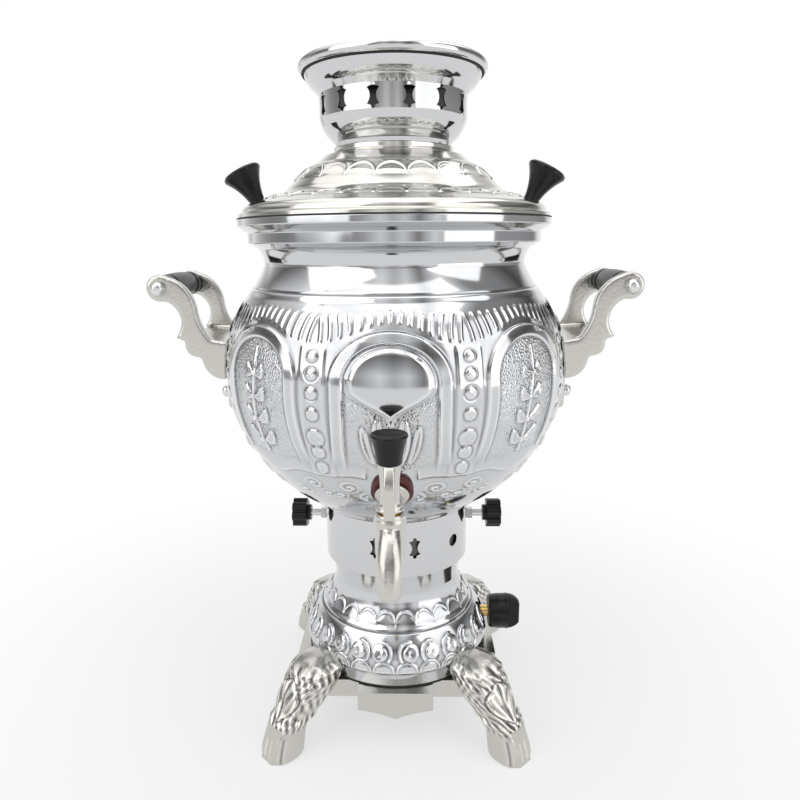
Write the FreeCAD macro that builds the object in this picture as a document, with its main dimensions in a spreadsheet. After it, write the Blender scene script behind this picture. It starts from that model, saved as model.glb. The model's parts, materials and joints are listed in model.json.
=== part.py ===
import FreeCAD, Part
import math
import os
import re
import Sketcher

# Samovar with gas burner: tank round a flue, lid, crown, stand, tap and gas valve.
# Millimetres. Z up, the feet stand on z = 0, the tap looks toward -Y, the gas knob toward +X.

os.makedirs("parts", exist_ok=True)
doc = FreeCAD.newDocument("samovar")
sheet = doc.addObject("Spreadsheet::Sheet", "sizes")

SIZES = [
    # levels of the stack, from the floor up
    ("stand_top", 45.0, "top face of the stand plate above the floor"),
    ("base_high", 79.6, "base shell"),
    ("shroud_high", 43.4, "shroud above the base shell"),
    ("tank_high", 210.0, "tank above the shroud's top edge"),
    ("lid_gap", 0.4, "air between tank rim and lid"),
    ("lid_high", 47.6, "lid"),
    ("crown_gap", 0.4, "air between lid collar and crown"),
    ("crown_high", 54.6, "crown above the lid collar"),
    # sheet and clearances
    ("wall", 1.2, "sheet of tank, shroud and base"),
    ("thin_wall", 1.0, "sheet of lid and crown"),
    ("gap", 0.3, "air between curved neighbours"),
    ("run_fit", 0.05, "radial clearance of a running pair"),
    ("screw_play", 0.2, "radial play of a screw in its hole"),
    # stand casting
    ("panel_half", 27.4, "half width of the middle panel"),
    ("panel_out", 78.0, "face of the middle panel from the axis"),
    ("recess_out", 62.5, "face of the set-back side panel from the axis"),
    ("recess_end", 50.0, "where the corner cut starts"),
    ("skirt_low", 31.0, "lower edge of the skirt above the floor"),
    ("skirt_wall", 3.2, "cast wall"),
    ("plate_thick", 4.0, "top plate"),
    ("valance_drop", 7.4, "point below the middle panel"),
    ("air_hole_r", 44.0, "opening under the burner"),
    ("knee_d", 86.0, "knee centre on the diagonal"),
    ("knee_top", 61.0, "top of the knee above the floor"),
    ("knee_a", 16.5, "knee half length along the diagonal"),
    ("knee_b", 14.5, "knee half width"),
    ("ankle_d", 111.0, "ankle centre on the diagonal"),
    ("ankle_z", 24.0, "top of the hoof"),
    ("ankle_a", 11.5, "ankle half length"),
    ("ankle_b", 10.5, "ankle half width"),
    ("hoof_d", 119.0, "hoof centre on the diagonal"),
    ("hoof_a", 12.5, "hoof half length"),
    ("hoof_b", 11.8, "hoof half width"),
    # base shell
    ("base_foot_r", 70.9, "base shell at the stand"),
    ("base_flange_r", 61.0, "inner edge of its foot flange"),
    ("base_belt_r", 72.3, "widest place of the base"),
    ("base_belt_z", 11.7, "height of the widest place"),
    ("base_crease_r", 61.1, "crease between the two curves"),
    ("base_crease_z", 38.0, "height of the crease"),
    ("base_neck_r", 49.0, "narrowest place"),
    ("base_neck_z", 62.0, "height of the narrowest place"),
    ("base_top_r", 53.0, "top edge of the base"),
    ("ring_in_r", 41.0, "opening through base top and shroud floor"),
    ("base_screw_r", 65.5, "circle of the base screws"),
    ("small_screw_r", 1.9, "shank of the small screws"),
    ("small_head_r", 3.4, "head of the small screws"),
    # shroud
    ("shroud_r", 55.5, "shroud outside"),
    ("slot_turn", 15.0, "degrees from the front to a figure slot"),
    ("slot_z", 22.4, "middle of the figure slots"),
    ("slot_half_high", 8.0, "half height of a figure slot"),
    ("slot_half_wide", 4.4, "half width at its horns"),
    ("slot_waist", 2.1, "half width at its waist"),
    ("light_turn", 51.0, "degrees from the front to the lighting hole"),
    ("light_r", 4.65, "lighting hole"),
    ("light_z", 20.4, "middle of the lighting hole"),
    # thumb screws
    ("thumb_z", 28.0, "thumb screw above the shroud floor"),
    ("thumb_r", 2.7, "thumb screw stud"),
    ("thumb_nut_r", 4.6, "welded nut across corners, half"),
    ("thumb_nut_end", 60.0, "outer end of the welded nut from the axis"),
    ("thumb_knob_in", 68.0, "inner end of the star knob from the axis"),
    ("thumb_knob_long", 14.0, "star knob along its axis"),
    ("thumb_knob_r", 11.25, "star knob over its lobes"),
    # gas train
    ("gas_z", 21.0, "gas axis above the stand plate"),
    ("valve_in_x", 42.0, "inner end of the valve block"),
    ("valve_block_long", 20.0, "valve block along X"),
    ("valve_half", 7.5, "half width of the valve block"),
    ("bonnet_r", 4.5, "brass bonnet"),
    ("bonnet_end", 74.3, "outer end of the bonnet from the axis"),
    ("spindle_r", 2.5, "gas spindle"),
    ("gas_knob_in", 74.8, "inner end of the gas knob"),
    ("gas_knob_long", 25.0, "gas knob along X"),
    ("gas_knob_r", 13.85, "gas knob"),
    ("valve_hole_y", 8.5, "half width of the hole round the bonnet"),
    ("valve_hole_z", 11.0, "half height of the hole round the bonnet"),
    ("jet_r", 3.2, "jet"),
    ("jet_long", 9.0, "jet along X"),
    ("mix_r", 8.5, "mixing tube outside"),
    ("mix_wall", 1.0, "mixing tube wall"),
    ("mix_start", 36.5, "mouth of the mixing tube from the axis"),
    ("riser_top", 51.0, "top of the riser above the stand plate"),
    ("burner_r", 24.0, "burner head"),
    ("burner_high", 13.0, "burner head above its socket floor"),
    ("cap_high", 3.0, "burner cap"),
    ("strap_half", 54.0, "half length of the burner strap"),
    ("strap_wide", 18.0, "width of the strap"),
    ("strap_thick", 2.0, "strap"),
    ("pipe_r", 3.0, "gas pipe outside"),
    ("pipe_bore", 2.1, "gas pipe inside"),
    ("pipe_x", 50.0, "pipe leaves the valve here"),
    ("pipe_mid_y", 36.0, "first bend"),
    ("pipe_bend_y", 46.0, "second bend"),
    ("inlet_in_y", 58.0, "inner end of the inlet nozzle"),
    ("inlet_seat_y", 72.6, "inner face of its hexagon"),
    ("inlet_hex_r", 8.0, "hexagon across corners, half"),
    ("inlet_hex_long", 4.2, "hexagon along Y"),
    ("inlet_stem_r", 4.9, "stem through the wall"),
    ("hose_r", 4.5, "spigot that the gas hose is pushed on"),
    ("inlet_out_long", 22.0, "hose part outside the hexagon"),
    # tank
    ("tank_flange_r", 54.6, "inner edge of the bottom flange"),
    ("tank_lift", 0.8, "tank flange above the shroud's edge"),
    ("tank_bead_r", 58.0, "bottom bead"),
    ("belly_low_r", 60.0, "start of the belly"),
    ("belly_low_z", 4.2, "its height"),
    ("belly_a_r", 93.5, "belly, first quarter"),
    ("belly_a_z", 30.0, "its height"),
    ("belly_b_r", 117.1, "belly below the widest place"),
    ("belly_b_z", 70.0, "its height"),
    ("belly_wide_r", 123.2, "widest place"),
    ("belly_wide_z", 95.0, "its height"),
    ("belly_c_r", 117.8, "belly above the widest place"),
    ("belly_c_z", 138.0, "its height"),
    ("shoulder_a_r", 111.4, "shoulder"),
    ("shoulder_a_z", 150.5, "its height"),
    ("shoulder_r", 102.4, "end of the shoulder"),
    ("shoulder_z", 163.5, "its height"),
    ("neck_a_r", 96.5, "neck, lower curve"),
    ("neck_a_z", 172.8, "its height"),
    ("neck_r", 93.5, "narrowest place of the neck"),
    ("neck_z", 179.5, "its height"),
    ("neck_b_r", 97.5, "neck, upper end"),
    ("neck_b_z", 190.6, "its height"),
    ("collar_r", 104.0, "collar"),
    ("collar_low", 194.2, "collar from here"),
    ("collar_top", 201.0, "collar up to here"),
    ("rim_r", 110.8, "rim"),
    ("rim_low", 205.6, "lower edge of the rim"),
    ("rim_in_r", 105.5, "inner edge of the rim flange"),
    ("foot_ring_r", 53.5, "ring that plugs into the shroud"),
    ("foot_ring_deep", 28.0, "how deep it plugs"),
    ("floor_r", 57.0, "tank floor"),
    ("flue_r", 26.0, "flue"),
    ("flue_top", 250.0, "top of the flue above the shroud's edge"),
    ("flue_flange_r", 33.0, "flange at the flue's foot"),
    # lid
    ("lid_r", 110.0, "lid edge"),
    ("lid_edge", 2.6, "height of the edge"),
    ("lid_skirt_r", 101.5, "locating skirt"),
    ("lid_skirt_deep", 8.0, "how deep it reaches into the tank"),
    ("lid_shoulder_r", 102.0, "end of the edge roll"),
    ("lid_shoulder_z", 9.6, "its height"),
    ("lid_flat_r", 86.0, "end of the flat slope"),
    ("lid_flat_z", 14.6, "its height"),
    ("lid_cone_r", 75.0, "start of the steep cone"),
    ("lid_cone_z", 20.6, "its height"),
    ("lid_step_r", 62.0, "end of the steep cone"),
    ("lid_step_z", 33.3, "its height"),
    ("lid_ledge_r", 54.9, "end of the upper ledge"),
    ("lid_ledge_z", 36.6, "its height"),
    ("lid_crest_r", 48.8, "upper cone"),
    ("lid_crest_z", 42.2, "its height"),
    ("lid_collar_r", 42.0, "collar of the lid"),
    ("lid_collar_z", 44.6, "its foot"),
    ("steam_r", 85.0, "circle of the steam holes"),
    ("steam_turn", 6.2, "degrees of a steam hole from its pair's middle"),
    ("steam_hole", 2.3, "steam hole"),
    ("lid_knob_r", 97.6, "foot of a lid knob from the axis"),
    ("lid_knob_z", 12.3, "its height above the lid edge"),
    ("lid_knob_tilt", 28.0, "tilt outward"),
    ("lid_knob_long", 24.5, "length"),
    ("lid_knob_foot", 5.35, "radius at the foot"),
    ("lid_knob_top", 13.8, "radius at the top"),
    # crown
    ("spigot_r", 37.8, "crown spigot inside the lid collar"),
    ("spigot_deep", 6.0, "its depth"),
    ("crown_neck_r", 40.2, "crown neck"),
    ("crown_bowl_r", 46.2, "crown, lower bowl"),
    ("crown_bowl_z", 7.9, "its height"),
    ("crown_low_r", 49.3, "end of the bowl"),
    ("crown_low_z", 12.8, "its height"),
    ("crown_band_r", 51.2, "pierced band"),
    ("crown_band_low", 18.0, "band from here"),
    ("crown_band_top", 33.4, "band up to here"),
    ("crown_ring_r", 54.0, "ring above the band"),
    ("crown_ring_z", 37.0, "its height"),
    ("crown_flare_r", 61.4, "flare under the rolled rim"),
    ("crown_flare_z", 47.4, "its height"),
    ("crown_rim_r", 65.0, "rolled rim"),
    ("crown_slot_z", 25.6, "middle of the crown slots"),
    ("crown_slot_high", 7.75, "half height of a crown slot"),
    ("crown_slot_horn", 4.2, "half width at the horns"),
    ("crown_slot_waist", 2.1, "half width at the waist"),
    # handles, heights above the shroud's edge
    ("eye_x", 161.0, "handle axis from the middle"),
    ("eye_z", 164.6, "handle axis height"),
    ("eye_r", 9.3, "eye disc"),
    ("arm_y", 39.0, "outer face of an arm"),
    ("arm_thick", 8.0, "arm"),
    ("arm_foot_x", 128.0, "inner foot of the arm"),
    ("arm_foot_z", 129.0, "its height"),
    ("arm_in_x", 136.8, "inner edge at the waist"),
    ("arm_in_z", 148.0, "its height"),
    ("arm_bend_x", 143.4, "inner edge in the bend"),
    ("arm_bend_z", 165.0, "its height"),
    ("arm_out_x", 148.2, "outer edge at the waist"),
    ("arm_out_z", 145.0, "its height"),
    ("ledge_x", 152.8, "tip of the ledge"),
    ("ledge_z", 130.2, "its height"),
    ("lobe_a_x", 138.4, "upper lobe"),
    ("lobe_a_z", 124.8, "its height"),
    ("lobe_a_r", 8.0, "its radius"),
    ("lobe_b_x", 122.4, "lower lobe"),
    ("lobe_b_z", 114.6, "its height"),
    ("lobe_b_r", 12.6, "its radius"),
    ("lug_x", 127.0, "front of the lug"),
    ("lug_low", 72.0, "lower end of the lug"),
    ("lug_half", 8.5, "half width of the lug"),
    ("lug_screw_z", 84.0, "screw through the lug"),
    ("lug_screw_r", 2.4, "its shank"),
    ("lug_nut_r", 4.4, "its domed nut"),
    ("rod_r", 2.5, "rod through the grip"),
    ("grip_r", 8.8, "grip"),
    ("dome_r", 4.6, "domed nuts of the rod"),
    ("dome_long", 6.0, "their length"),
    # tap, heights above the shroud's edge
    ("tap_seat_r", 104.8, "tap seat from the axis"),
    ("tap_seat_z", 44.0, "its height"),
    ("tap_tilt", 33.0, "slope of the tank wall there"),
    ("tap_hole_r", 6.8, "hole in the tank wall"),
    ("tap_stub_r", 6.4, "threaded stub"),
    ("tap_stub_long", 17.0, "its length inside the seat"),
    ("tap_bore", 3.4, "water way"),
    ("gasket_r", 13.4, "outer gasket"),
    ("gasket_thick", 2.6, "outer gasket"),
    ("gasket_in_r", 11.0, "inner gasket"),
    ("gasket_in_thick", 2.4, "inner gasket"),
    ("tap_flange_r", 11.0, "tap flange"),
    ("tap_flange_thick", 3.0, "tap flange"),
    ("tap_nut_r", 10.5, "back nut across corners, half"),
    ("tap_nut_thick", 5.0, "back nut"),
    ("barrel_y", 150.0, "barrel axis in front of the middle"),
    ("barrel_r", 8.8, "barrel"),
    ("barrel_low", 22.0, "barrel from here"),
    ("barrel_top", 48.0, "barrel up to here"),
    ("way_z", 35.0, "height of the water way in the barrel"),
    ("arm_tube_r", 6.6, "tube between flange and barrel"),
    ("arm_tube_tilt", 8.4, "its slope"),
    ("arm_tube_long", 40.5, "its length"),
    ("plug_r", 6.0, "plug"),
    ("plug_tail", 3.4, "plug below the barrel"),
    ("tail_r", 3.0, "plug tail"),
    ("spout_mid_y", 166.0, "spout, middle"),
    ("spout_mid_z", 24.0, "its height"),
    ("spout_tip_y", 171.5, "spout, tip"),
    ("spout_tip_z", 5.5, "its height"),
    ("spout_r", 7.8, "spout half width"),
    ("spout_tip_r", 5.6, "spout half width at the tip"),
    ("key_neck_r", 5.6, "neck of the key"),
    ("key_top", 84.0, "top of the key"),
    ("key_cup_half", 8.2, "half width of the key's cup"),
    ("key_leaf_half", 3.1, "half width of the front leaf"),
    ("key_leaf_y", 164.0, "front of the leaf"),
    ("key_leaf_low", 45.5, "lower end of the leaf"),
    ("tap_knob_high", 15.0, "tap knob"),
    ("tap_knob_foot", 6.6, "its radius below"),
    ("tap_knob_top", 10.0, "its radius above"),
]
NAMES = set()
for line, (name, value, note) in enumerate(SIZES, start=1):
    sheet.set("A%d" % line, name)
    sheet.set("B%d" % line, str(value))
    sheet.set("C%d" % line, note)
    sheet.setAlias("B%d" % line, name)
    NAMES.add(name)
doc.recompute()


def ex(text):
    """An expression over the sheet from a short text with bare names."""
    return re.sub(r"[a-z_]+", lambda m: "sizes." + m[0] if m[0] in NAMES else m[0], str(text))


def val(text):
    """The number that such a text has now."""
    found = sheet.evalExpression(ex(text).replace("sizes.", ""))
    return float(getattr(found, "Value", found))


def bind(thing, path, text):
    thing.setExpression(path, ex(text))


def place(thing, x="0", y="0", z="0", axis=None, angle="0"):
    """Placement of a sub-part, bound to the sheet."""
    turn = FreeCAD.Rotation()
    if axis is not None:
        turn = FreeCAD.Rotation(FreeCAD.Vector(*axis), val(angle) or 1.0)
    thing.Placement = FreeCAD.Placement(FreeCAD.Vector(val(x), val(y), val(z)), turn)
    for letter, text in (("x", x), ("y", y), ("z", z)):
        if text != "0":
            bind(thing, "Placement.Base." + letter, text)
    if axis is not None:
        bind(thing, "Placement.Rotation.Angle", angle)


PARTS = []


def new_body(label, **where):
    made = doc.addObject("PartDesign::Body", label)
    made.Label = label
    place(made, **where)
    PARTS.append(made)
    return made


def plane_of(body, role):
    for feature in body.Origin.OriginFeatures:
        if feature.Role == role:
            return feature
    raise ValueError(role)


def new_sketch(body, name, role, shift=None, axis=None, angle="0"):
    """A sketch on one of the body's planes; shift and turn are in the plane's own axes."""
    sketch = body.newObject("Sketcher::SketchObject", name)
    sketch.AttachmentSupport = [(plane_of(body, role), "")]
    sketch.MapMode = "FlatFace"
    shift = shift or ("0", "0", "0")
    turn = FreeCAD.Rotation()
    if axis is not None:
        turn = FreeCAD.Rotation(FreeCAD.Vector(*axis), val(angle))
    sketch.AttachmentOffset = FreeCAD.Placement(
        FreeCAD.Vector(val(shift[0]), val(shift[1]), val(shift[2])), turn)
    for letter, text in zip("xyz", shift):
        if text != "0":
            bind(sketch, "AttachmentOffset.Base." + letter, text)
    if axis is not None and angle != "0":
        bind(sketch, "AttachmentOffset.Rotation.Angle", angle)
    return sketch


def pin_point(sketch, rules, links, geo, pos, across, up):
    """Fix a point by two bound distances from the sketch's origin."""
    for kind, text, line in (("DistanceX", across, -2), ("DistanceY", up, -1)):
        if text == "0":
            rules.append(Sketcher.Constraint("PointOnObject", geo, pos, line))
        else:
            links.append((len(rules), text))
            rules.append(Sketcher.Constraint(kind, -1, 1, geo, pos, val(text)))


def outline(sketch, path):
    """A closed loop. A step is (across, up) or ("via", across, up) for an arc through that place."""
    corners = [step for step in path if step[0] != "via"]
    sides = []
    for index, step in enumerate(path):
        if step[0] == "via":
            sides[-1] = (step[1], step[2])
        else:
            sides.append(None)
    count = len(corners)
    shapes = []
    ends = []
    vias = []
    for index in range(count):
        first = FreeCAD.Vector(val(corners[index][0]), val(corners[index][1]), 0)
        after = corners[(index + 1) % count]
        last = FreeCAD.Vector(val(after[0]), val(after[1]), 0)
        if sides[index] is None:
            shapes.append(Part.LineSegment(first, last))
            ends.append((1, 2))
        else:
            middle = FreeCAD.Vector(val(sides[index][0]), val(sides[index][1]), 0)
            if (middle - first).cross(last - first).z > 0:
                shapes.append(Part.Arc(first, middle, last))
                ends.append((1, 2))
            else:
                shapes.append(Part.Arc(last, middle, first))
                ends.append((2, 1))
            vias.append((index, sides[index], middle))
    start = sketch.GeometryCount
    sketch.addGeometry(shapes, False)
    rules = []
    links = []
    base = sketch.ConstraintCount
    for index in range(count):
        after = (index + 1) % count
        rules.append(Sketcher.Constraint(
            "Coincident", start + index, ends[index][1], start + after, ends[after][0]))
    for index, corner in enumerate(corners):
        pin_point(sketch, rules, links, start + index, ends[index][0], corner[0], corner[1])
    for index, place_text, middle in vias:
        point = sketch.addGeometry(Part.Point(middle), True)
        pin_point(sketch, rules, links, point, 1, place_text[0], place_text[1])
        rules.append(Sketcher.Constraint("PointOnObject", point, 1, start + index))
    sketch.addConstraint(rules)
    for number, text in links:
        bind(sketch, "Constraints[%d]" % (base + number), text)


def ring(sketch, across, up, radius):
    """A circle with bound middle and radius."""
    geo = sketch.addGeometry(
        Part.Circle(FreeCAD.Vector(val(across), val(up), 0), FreeCAD.Vector(0, 0, 1), val(radius)), False)
    rules = []
    links = []
    base = sketch.ConstraintCount
    if across == "0" and up == "0":
        rules.append(Sketcher.Constraint("Coincident", geo, 3, -1, 1))
    else:
        pin_point(sketch, rules, links, geo, 3, across, up)
    links.append((len(rules), radius))
    rules.append(Sketcher.Constraint("Radius", geo, val(radius)))
    sketch.addConstraint(rules)
    for number, text in links:
        bind(sketch, "Constraints[%d]" % (base + number), text)


def ngon(sketch, radius, sides, turn=0.0, across="0", up="0"):
    """A regular figure round a place, its corners on a circle."""
    path = []
    for index in range(sides):
        angle = math.radians(turn + 360.0 * index / sides)
        path.append(("(%s) + (%s) * %.5f" % (across, radius, math.cos(angle)),
                     "(%s) + (%s) * %.5f" % (up, radius, math.sin(angle))))
    outline(sketch, path)


def unit(vector):
    return vector * (1.0 / vector.Length)


def left_of(vector):
    return FreeCAD.Vector(-vector.y, vector.x, 0)


def shifted(path, distance):
    """The same open path, moved to its left by a distance, corners mitred."""
    corners = []
    sides = []
    for step in path:
        if step[0] == "via":
            sides[-1] = step
        else:
            corners.append(step)
            sides.append(None)
    spots = [FreeCAD.Vector(val(c[0]), val(c[1]), 0) for c in corners]
    leave = []
    reach = []
    circles = []
    for index in range(len(corners) - 1):
        first = spots[index]
        last = spots[index + 1]
        if sides[index] is None:
            way = unit(last - first)
            leave.append(way)
            reach.append(way)
            circles.append(None)
            continue
        middle = FreeCAD.Vector(val(sides[index][1]), val(sides[index][2]), 0)
        centre = Part.Arc(first, middle, last).toShape().Curve.Center
        sense = 1.0 if (middle - first).cross(last - first).z > 0 else -1.0
        leave.append(unit(left_of(first - centre) * sense))
        reach.append(unit(left_of(last - centre) * sense))
        circles.append(left_of(unit(left_of(middle - centre) * sense)))
    moved = []
    for index in range(len(corners)):
        if index == 0:
            side = left_of(leave[0])
            stretch = 1.0
        elif index == len(corners) - 1:
            side = left_of(reach[-1])
            stretch = 1.0
        else:
            before = left_of(reach[index - 1])
            after = left_of(leave[index])
            side = unit(before + after)
            stretch = 1.0 / side.dot(before)
        moved.append(("(%s) + (%s) * %.4f" % (corners[index][0], distance, side.x * stretch),
                      "(%s) + (%s) * %.4f" % (corners[index][1], distance, side.y * stretch)))
        if index < len(corners) - 1 and sides[index] is not None:
            via = circles[index]
            moved.append(("via", "(%s) + (%s) * %.4f" % (sides[index][1], distance, via.x),
                          "(%s) + (%s) * %.4f" % (sides[index][2], distance, via.y)))
    return moved


def backward(path):
    """An open path run the other way, with each arc's place kept between its ends."""
    return list(reversed(path))


def sheet_loop(path, thickness):
    """The closed section of a bent sheet: the path and its other face."""
    return list(path) + backward(shifted(path, thickness))


def revolve(body, name, path, angle=360.0):
    sketch = new_sketch(body, name + "_section", "XZ_Plane")
    outline(sketch, path)
    feature = body.newObject("PartDesign::Revolution", name)
    feature.Profile = sketch
    feature.ReferenceAxis = (sketch, ["V_Axis"])
    feature.Angle = angle
    body.Tip = feature
    return feature


def revolve_across(body, name, path, role="XZ_Plane", shift=None, axis="H_Axis"):
    """A turned piece whose axis lies along the sketch's own level axis."""
    sketch = new_sketch(body, name + "_section", role, shift)
    outline(sketch, path)
    feature = body.newObject("PartDesign::Revolution", name)
    feature.Profile = sketch
    feature.ReferenceAxis = (sketch, [axis])
    feature.Angle = 360.0
    body.Tip = feature
    return feature


def groove(body, name, path):
    sketch = new_sketch(body, name + "_section", "XZ_Plane")
    outline(sketch, path)
    feature = body.newObject("PartDesign::Groove", name)
    feature.Profile = sketch
    feature.ReferenceAxis = (sketch, ["V_Axis"])
    feature.Angle = 360.0
    body.Tip = feature
    return feature


def pad(body, name, sketch, length, reverse=False, middle=False):
    feature = body.newObject("PartDesign::Pad", name)
    feature.Profile = sketch
    feature.Length = val(length)
    bind(feature, "Length", length)
    feature.Reversed = reverse
    if middle:
        feature.Midplane = True
    body.Tip = feature
    return feature


def pocket(body, name, sketch, length=None, reverse=False, middle=False):
    feature = body.newObject("PartDesign::Pocket", name)
    feature.Profile = sketch
    if length is None:
        feature.Type = "ThroughAll"
    else:
        feature.Length = val(length)
        bind(feature, "Length", length)
    feature.Reversed = reverse
    if middle:
        feature.Midplane = True
    body.Tip = feature
    return feature


def around(body, name, features, count):
    pattern = body.newObject("PartDesign::PolarPattern", name)
    pattern.Originals = features
    pattern.Axis = (plane_of(body, "Z_Axis"), [""])
    pattern.Angle = 360
    pattern.Occurrences = count
    body.Tip = pattern
    return pattern


STAND = "stand_top"
SHROUD = "stand_top + base_high"
TANK = "stand_top + base_high + shroud_high"
LID = TANK + " + tank_high + lid_gap"
CROWN = LID + " + lid_high + crown_gap"

# stand

stand = new_body("stand_casting")


def stand_edge(inset):
    """Outline of the stand seen from above, drawn in by an inset."""
    half = "panel_half - (%s)" % inset
    out = "panel_out - (%s)" % inset
    back = "recess_out - (%s)" % inset
    cut = "recess_end - (%s) * 0.41" % inset
    quarter = [("-(%s)" % half, "-(%s)" % out), (half, "-(%s)" % out), (half, "-(%s)" % back),
               (cut, "-(%s)" % back)]
    path = []
    for turn in range(4):
        for across, up in quarter:
            spot = (across, up)
            for _ in range(turn):
                spot = ("-(%s)" % spot[1], spot[0])
            path.append(spot)
        spot = (back, "-(%s)" % cut)
        for _ in range(turn):
            spot = ("-(%s)" % spot[1], spot[0])
        path.append(spot)
        spot = (back, "-(%s)" % half)
        for _ in range(turn):
            spot = ("-(%s)" % spot[1], spot[0])
        path.append(spot)
    return path


plate_sketch = new_sketch(stand, "plate_outline", "XY_Plane", ("0", "0", "skirt_low"))
outline(plate_sketch, stand_edge("0"))
pad(stand, "plate", plate_sketch, "stand_top - skirt_low")
hollow_sketch = new_sketch(stand, "hollow_outline", "XY_Plane", ("0", "0", "skirt_low"))
outline(hollow_sketch, stand_edge("skirt_wall"))
pocket(stand, "hollow", hollow_sketch, "stand_top - skirt_low - plate_thick", reverse=True)
valance_sketch = new_sketch(stand, "valance_outline", "XZ_Plane", ("0", "0", "panel_out - skirt_wall"))
outline(valance_sketch, [
    ("-panel_half", "skirt_low + 3"), ("-panel_half", "skirt_low"),
    ("via", "-panel_half * 0.45", "skirt_low - valance_drop * 0.4"),
    ("0", "skirt_low - valance_drop"),
    ("via", "panel_half * 0.45", "skirt_low - valance_drop * 0.4"),
    ("panel_half", "skirt_low"), ("panel_half", "skirt_low + 3")])
valance = pad(stand, "valance", valance_sketch, "skirt_wall")
around(stand, "valances", [valance], 4)
doc.recompute()


def leg_section(name, height, middle, along, across):
    """An eight-sided section of a leg at a height, on the diagonal."""
    sketch = new_sketch(stand, name, "XY_Plane", ("0", "0", height), (0, 0, 1), "-45")
    near = "(%s) - (%s)" % (middle, along)
    far = "(%s) + (%s)" % (middle, along)
    near_in = "(%s) - (%s) * 0.55" % (middle, along)
    far_in = "(%s) + (%s) * 0.55" % (middle, along)
    side = "(%s)" % across
    small = "(%s) * 0.5" % across
    outline(sketch, [(far, "-" + small), (far, small), (far_in, side), (near_in, side),
                     (near, small), (near, "-" + small), (near_in, "-" + side), (far_in, "-" + side)])
    return sketch


leg_sections = [
    leg_section("leg_top", "knee_top", "knee_d - 4", "knee_a * 0.55", "knee_b * 0.7"),
    leg_section("leg_knee", "knee_top - 9", "knee_d", "knee_a", "knee_b"),
    leg_section("leg_calf", "knee_top * 0.4 + ankle_z * 0.6", "knee_d * 0.55 + ankle_d * 0.45",
                "knee_a * 0.55 + ankle_a * 0.45", "knee_b * 0.6 + ankle_b * 0.4"),
    leg_section("leg_ankle", "ankle_z - 2", "ankle_d", "ankle_a", "ankle_b"),
]
leg = stand.newObject("PartDesign::AdditiveLoft", "leg")
leg.Profile = leg_sections[0]
leg.Sections = leg_sections[1:]
leg.Ruled = True
stand.Tip = leg
hoof_top = leg_section("hoof_top", "ankle_z", "ankle_d + 2.5", "ankle_a", "ankle_b")
hoof_low = leg_section("hoof_low", "0", "hoof_d", "hoof_a", "hoof_b")
hoof = stand.newObject("PartDesign::AdditiveLoft", "hoof")
hoof.Profile = hoof_top
hoof.Sections = [hoof_low]
hoof.Ruled = True
stand.Tip = hoof
doc.recompute()
around(stand, "legs", [leg, hoof], 4)
doc.recompute()
seat_sketch = new_sketch(stand, "base_seat_outline", "XY_Plane", ("0", "0", "stand_top"))
ring(seat_sketch, "0", "0", "base_belt_r + gap * 2")
pocket(stand, "base_seat", seat_sketch, "knee_top", reverse=True)
air_sketch = new_sketch(stand, "air_outline", "XY_Plane", ("0", "0", "stand_top"))
ring(air_sketch, "0", "0", "air_hole_r")
pocket(stand, "air_hole", air_sketch, "plate_thick + 2")
hole_sketch = new_sketch(stand, "screw_holes_outline", "XY_Plane", ("0", "0", "stand_top"))
ring(hole_sketch, "0", "base_screw_r", "small_screw_r + screw_play")
stand_hole = pocket(stand, "screw_hole", hole_sketch, "plate_thick + 2")
around(stand, "screw_holes", [stand_hole], 4)
strap_hole_sketch = new_sketch(stand, "strap_holes_outline", "XY_Plane", ("0", "0", "stand_top"))
ring(strap_hole_sketch, "0", "strap_half - 5", "small_screw_r + screw_play")
ring(strap_hole_sketch, "0", "-(strap_half - 5)", "small_screw_r + screw_play")
pocket(stand, "strap_holes", strap_hole_sketch, "plate_thick + 2")

# base shell

base = new_body("base_shell", z=STAND)
base_path = [
    ("base_flange_r", "0"), ("base_foot_r", "0"), ("base_belt_r", "base_belt_z"),
    ("via", "(base_belt_r + base_crease_r) / 2 + 2.3", "(base_belt_z + base_crease_z) / 2 + 1.4"),
    ("base_crease_r", "base_crease_z"),
    ("via", "(base_crease_r + base_neck_r) / 2 - 2.2", "(base_crease_z + base_neck_z) / 2 - 1.2"),
    ("base_neck_r", "base_neck_z"),
    ("via", "(base_neck_r + base_top_r) / 2 - 0.6", "(base_neck_z + base_high) / 2"),
    ("base_top_r", "base_high"), ("ring_in_r", "base_high")]
revolve(base, "base_sheet", sheet_loop(base_path, "wall"))
doc.recompute()
valve_hole = new_sketch(base, "valve_hole_outline", "YZ_Plane", ("0", "0", "40"))
outline(valve_hole, [
    ("-valve_hole_y", "gas_z - valve_hole_z + valve_hole_y"),
    ("via", "0", "gas_z - valve_hole_z"), ("valve_hole_y", "gas_z - valve_hole_z + valve_hole_y"),
    ("valve_hole_y", "gas_z + valve_hole_z - valve_hole_y"),
    ("via", "0", "gas_z + valve_hole_z"), ("-valve_hole_y", "gas_z + valve_hole_z - valve_hole_y")])
pocket(base, "valve_hole", valve_hole, "50", reverse=True)
inlet_hole = new_sketch(base, "inlet_hole_outline", "XZ_Plane", ("0", "0", "-40"))
ring(inlet_hole, "0", "gas_z", "inlet_stem_r + gap")
pocket(base, "inlet_hole", inlet_hole, "50")
base_hole_sketch = new_sketch(base, "base_screw_hole_outline", "XY_Plane", ("0", "0", "wall"))
ring(base_hole_sketch, "0", "base_screw_r", "small_screw_r + screw_play")
base_hole = pocket(base, "base_screw_hole", base_hole_sketch, "wall + 1")
around(base, "base_screw_holes", [base_hole], 4)

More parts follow.
